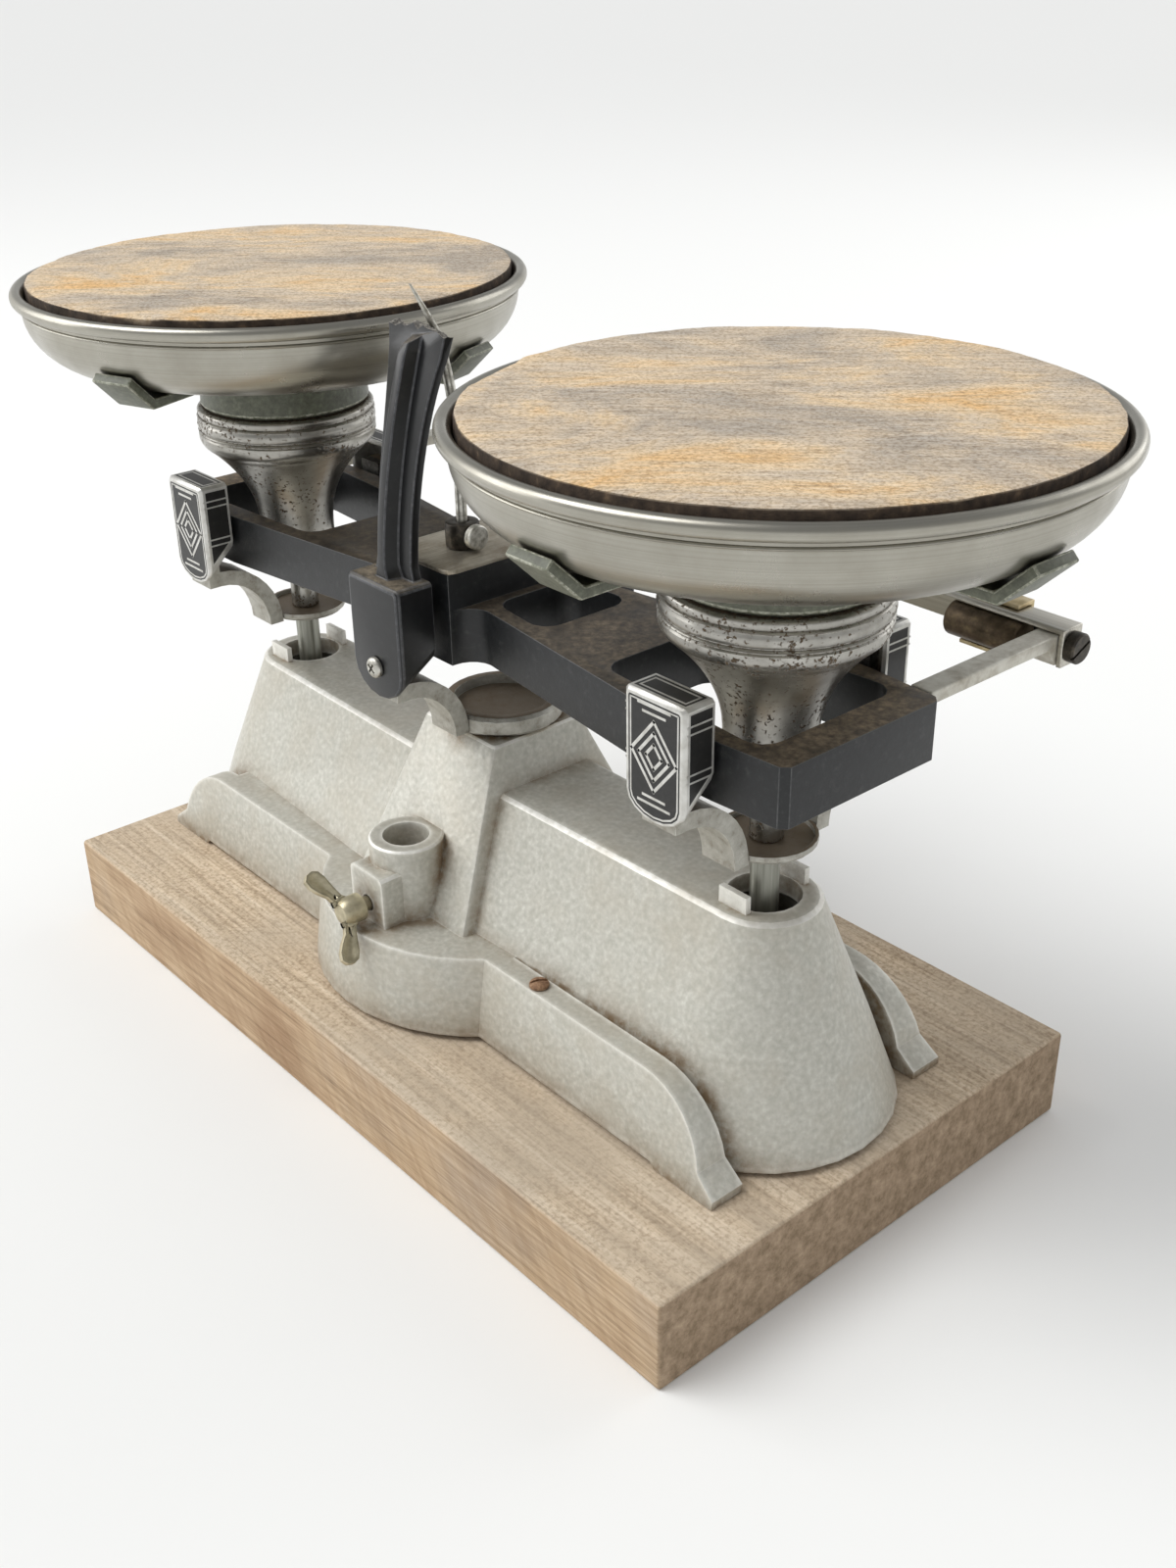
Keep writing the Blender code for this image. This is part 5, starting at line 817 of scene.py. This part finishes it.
rim_noise = add(tree, "TexNoise", {"Vector": at, "Scale": 1 / (2.5 * mm), "Detail": 6.0})
rim_tone = add(tree, "ValToRGB", {0: rim_noise},
               stops=[(0.3, "#2b231d"), (0.6, "#463a2f"), (0.85, "#74604b")])
plate_colour = add(tree, "Mix", {0: facing_up(tree, 0.35, 0.75), 6: rim_tone, 7: sawn_top}, **mixed)
fibre_bump = add(tree, "Bump", {"Height": fibre, "Strength": 0.6, "Distance": 0.7 * mm})
torn_bump = add(tree, "Bump", {"Height": torn, "Strength": 0.4, "Distance": 0.5 * mm, "Normal": fibre_bump})
feed(tree, shader, {"Base Color": plate_colour, "Normal": torn_bump, "Roughness": 0.85,
                    "Specular IOR Level": 0.3})

edge, worn_in, ripple, chip_size, rim_steps = 0.9 * mm, 0.25 * mm, 0.45 * mm, 4 * mm, 220
ripples_per_metre, waves_per_metre, chips_per_metre = 260, 90, 55
for pan, x in pan_x.items():
    low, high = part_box(pan + "_wood_plate")
    radius = (high.x - low.x) / 2
    profile = [(0.0, low.z), (radius - edge, low.z), (radius, low.z + edge), (radius, (low.z + high.z) / 2),
               (radius, high.z - edge), (radius - edge * 0.35, high.z - edge * 0.25),
               (radius - edge * 1.1, high.z), (radius - edge * 3, high.z), (radius - edge * 7, high.z),
               (0.0, high.z)]
    plate = turned(pan + "_sawn_plate", profile, (x, 0.0, 0.0), rim_steps)
    seed = Vector((7.0 if pan == "left" else 31.0, 3.0, 0.0))
    for vertex in plate.data.vertices:
        reach = math.hypot(vertex.co.x - x, vertex.co.y)
        if reach > radius - edge * 2 and vertex.co.z > low.z + edge * 1.5:
            fine_wave = noise.noise(vertex.co * ripples_per_metre + seed)
            rough = fine_wave * 0.5 + noise.noise(vertex.co * waves_per_metre + seed) * 0.5
            chip = max(0.0, noise.noise(vertex.co * chips_per_metre + seed * 2) - 0.28) * chip_size
            chip_share = 1.0 if vertex.co.z > high.z - edge * 2 else 0.3
            inward = max(0.0, worn_in + rough * ripple + chip * chip_share)
            vertex.co.x -= (vertex.co.x - x) / reach * inward
            vertex.co.y -= vertex.co.y / reach * inward
            if vertex.co.z > high.z - edge * 0.5:
                vertex.co.z -= min(edge, inward * 0.5)
    settle(plate, rough_wood, "rough_sawn_wood", pan + "_wood_plate", pan + "_wood_plate")

# The plate on the hub: a ground steel strip with rounded corners, scored along its length and tarnished.
# Ground steel: scored along its length by the grinder and gone yellowish-grey with tarnish.
# The scores are drawn 0.7 mm wide; the real grit's lines are too fine to show.
tarnished, tree, shader, at = material("tarnished_ground_steel")
scores = grain(tree, at, (0.7143 * mm, 16.67 * mm, 16.67 * mm), 4.0, 0.7)
age = add(tree, "TexNoise", {"Vector": at, "Scale": 1 / (9 * mm), "Detail": 6.0, "Roughness": 0.7})
score_tone = add(tree, "ValToRGB", {0: scores}, stops=[(0.3, "#a39b8b"), (0.7, "#cfc9bb")])
age_share = add(tree, "ValToRGB", {0: age}, stops=[(0.42, 0.0), (0.7, 0.8)])
aged = add(tree, "Mix", {0: age_share, 6: score_tone, 7: "#8b7c66"}, **mixed)
score_bump = add(tree, "Bump", {"Height": scores, "Strength": 0.4, "Distance": 0.2 * mm})
feed(tree, shader, {"Base Color": aged, "Normal": score_bump, "Metallic": 0.8, "Roughness": 0.45})
softened("centre_plate", 0.3 * mm, tarnished, segments=2)

# The pointer: a steel needle bent forward, held in a dark collar by a small thumb screw.
# Blackened steel: turned, then dipped hot in oil, so it is dark with a low shine.
dark_steel = mottled("blackened_steel", 2.0 * mm, [(0.3, "#2d2a27"), (0.55, "#47423b"), (0.8, "#746a5c")],
                     roughness=0.42, metallic=0.7, detail=6.0, ragged=0.7)
low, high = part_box("pointer")
stem, tip, needle_y, needle_sides = 1.6 * mm, 0.35 * mm, -12.0 * mm, 28
# Each station: how far it leans, its height and its radius.
stations = [(0.0, low.z, stem), (0.0, low.z + 34.0 * mm, stem), (-0.4 * mm, low.z + 38.5 * mm, stem),
            (-2.2 * mm, low.z + 49.0 * mm, stem * 0.92), (-4.5 * mm, low.z + 60.4 * mm, stem * 0.8),
            (-8.4 * mm, low.z + 67.6 * mm, stem * 0.55), (-13.0 * mm, high.z, tip)]
bpy.ops.object.select_all(action="DESELECT")
bpy.ops.mesh.primitive_circle_add(vertices=needle_sides, radius=stem, fill_type="NGON",
                                  location=(0.0, needle_y, low.z))
needle = bpy.context.object
needle.name = "pointer_needle"
bpy.ops.object.transform_apply(location=True, rotation=True, scale=True)
bpy.ops.object.mode_set(mode="EDIT")
bpy.ops.mesh.select_all(action="SELECT")
for (lean, z, size), (next_lean, next_z, next_size) in zip(stations, stations[1:]):
    bpy.ops.mesh.extrude_region_move(TRANSFORM_OT_translate={"value": (0.0, next_lean - lean, next_z - z)})
    bpy.ops.transform.resize(value=(next_size / size, next_size / size, 1.0),
                             center_override=(0.0, needle_y + next_lean, next_z))
bpy.ops.mesh.select_all(action="SELECT")
bpy.ops.mesh.normals_make_consistent(inside=False)
bpy.ops.object.mode_set(mode="OBJECT")
bpy.ops.object.shade_smooth_by_angle(angle=math.radians(40))
settle(needle, plated_steel, "bright_steel", "beam", "pointer")
softened("pointer_collar", 0.4 * mm, dark_steel, segments=2)
low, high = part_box("pointer_thumb_screw")
radius, length, break_edge = (high.z - low.z) / 2, high.x - low.x, 0.3 * mm
profile = [(0.0, 0.0), (radius * 0.9, 0.0), (radius, break_edge), (radius, length - break_edge),
           (radius * 0.9, length), (0.0, length)]
middle = (low + high) / 2
thumb = turned("pointer_thumb_head", profile, (low.x, middle.y, middle.z), 36, "X")
settle(thumb, plated_steel, "bright_steel", "beam", "pointer_thumb_screw")

# The weigh beam: two cast arms in bright paint, and an aluminium angle rail across their ends.
# Two cheese-head screws hold the folded ends of the rail to the arms.
# Silver paint: brushed on the cast arms, pale and streaky with a soft metallic sheen.
bright_casting = mottled("silver_painted_arm", 5.0 * mm,
                         [(0.3, "#a69f90"), (0.55, "#cbc8bd"), (0.8, "#dbd9d0")], roughness=0.4,
                         metallic=0.35, detail=6.0, ragged=0.65)
# Aluminium strip: drawn through rolls, which leave long streaks and a satin shine.
# The streaks are drawn 0.67 mm wide, coarser than the real ones, so that they show.
rail_aluminium, tree, shader, at = material("drawn_aluminium_strip")
streak = grain(tree, at, (40 * mm, 0.6667 * mm, 0.6667 * mm), 4.0, 0.65)
streak_tone = add(tree, "ValToRGB", {0: streak}, stops=[(0.3, "#b1ada2"), (0.7, "#d2cfc6")])
streak_bump = add(tree, "Bump", {"Height": streak, "Strength": 0.15, "Distance": 0.15 * mm})
feed(tree, shader, {"Base Color": streak_tone, "Normal": streak_bump, "Metallic": 1.0, "Roughness": 0.34})
slot_width, slot_depth, slot_turn, head_round = 0.9 * mm, 1.6 * mm, math.radians(25), 0.5 * mm
for side, sign in (("left", -1), ("right", 1)):
    softened(side + "_weigh_arm", 0.5 * mm, bright_casting)
    low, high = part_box(side + "_weigh_screw")
    middle = (low + high) / 2
    radius = (high.z - low.z) / 2
    length = high.x - low.x
    seat = low.x if sign > 0 else high.x
    profile = [(0.0, 0.0), (radius, 0.0), (radius, sign * (length - head_round)),
               (radius - head_round, sign * length), (0.0, sign * length)]
    head = turned(side + "_cheese_head", profile, (seat, middle.y, middle.z), 48, "X")
    cut(head, bar((seat + sign * length, middle.y, middle.z),
                  (slot_depth, radius * 2.4, slot_width), (slot_turn, 0.0, 0.0)))
    settle(head, dark_steel, "dark_steel", "beam", side + "_weigh_screw")
softened("weigh_beam", 0.3 * mm, rail_aluminium, segments=2)

# The poise: a bronze cylinder gone dark, held under the rail by a bent strap of yellow brass.
# Bronze: turned, and darkened by years of handling to brown with a low shine.
old_bronze = mottled("darkened_bronze", 3.5 * mm, [(0.3, "#3f3525"), (0.55, "#5f5242"), (0.8, "#8b7a5c")],
                     roughness=0.4, metallic=0.8, detail=6.0, ragged=0.65)
# Brass strip: rolled and bent, dull yellow with paler worn patches.
strap_brass = mottled("dull_yellow_brass", 4.0 * mm,
                      [(0.3, "#a8966c"), (0.55, "#cdbb94"), (0.8, "#dccfae")], roughness=0.38,
                      metallic=0.85)
softened("poise_weight", 0.6 * mm, old_bronze)
softened("poise_clip", 0.25 * mm, strap_brass, segments=2)
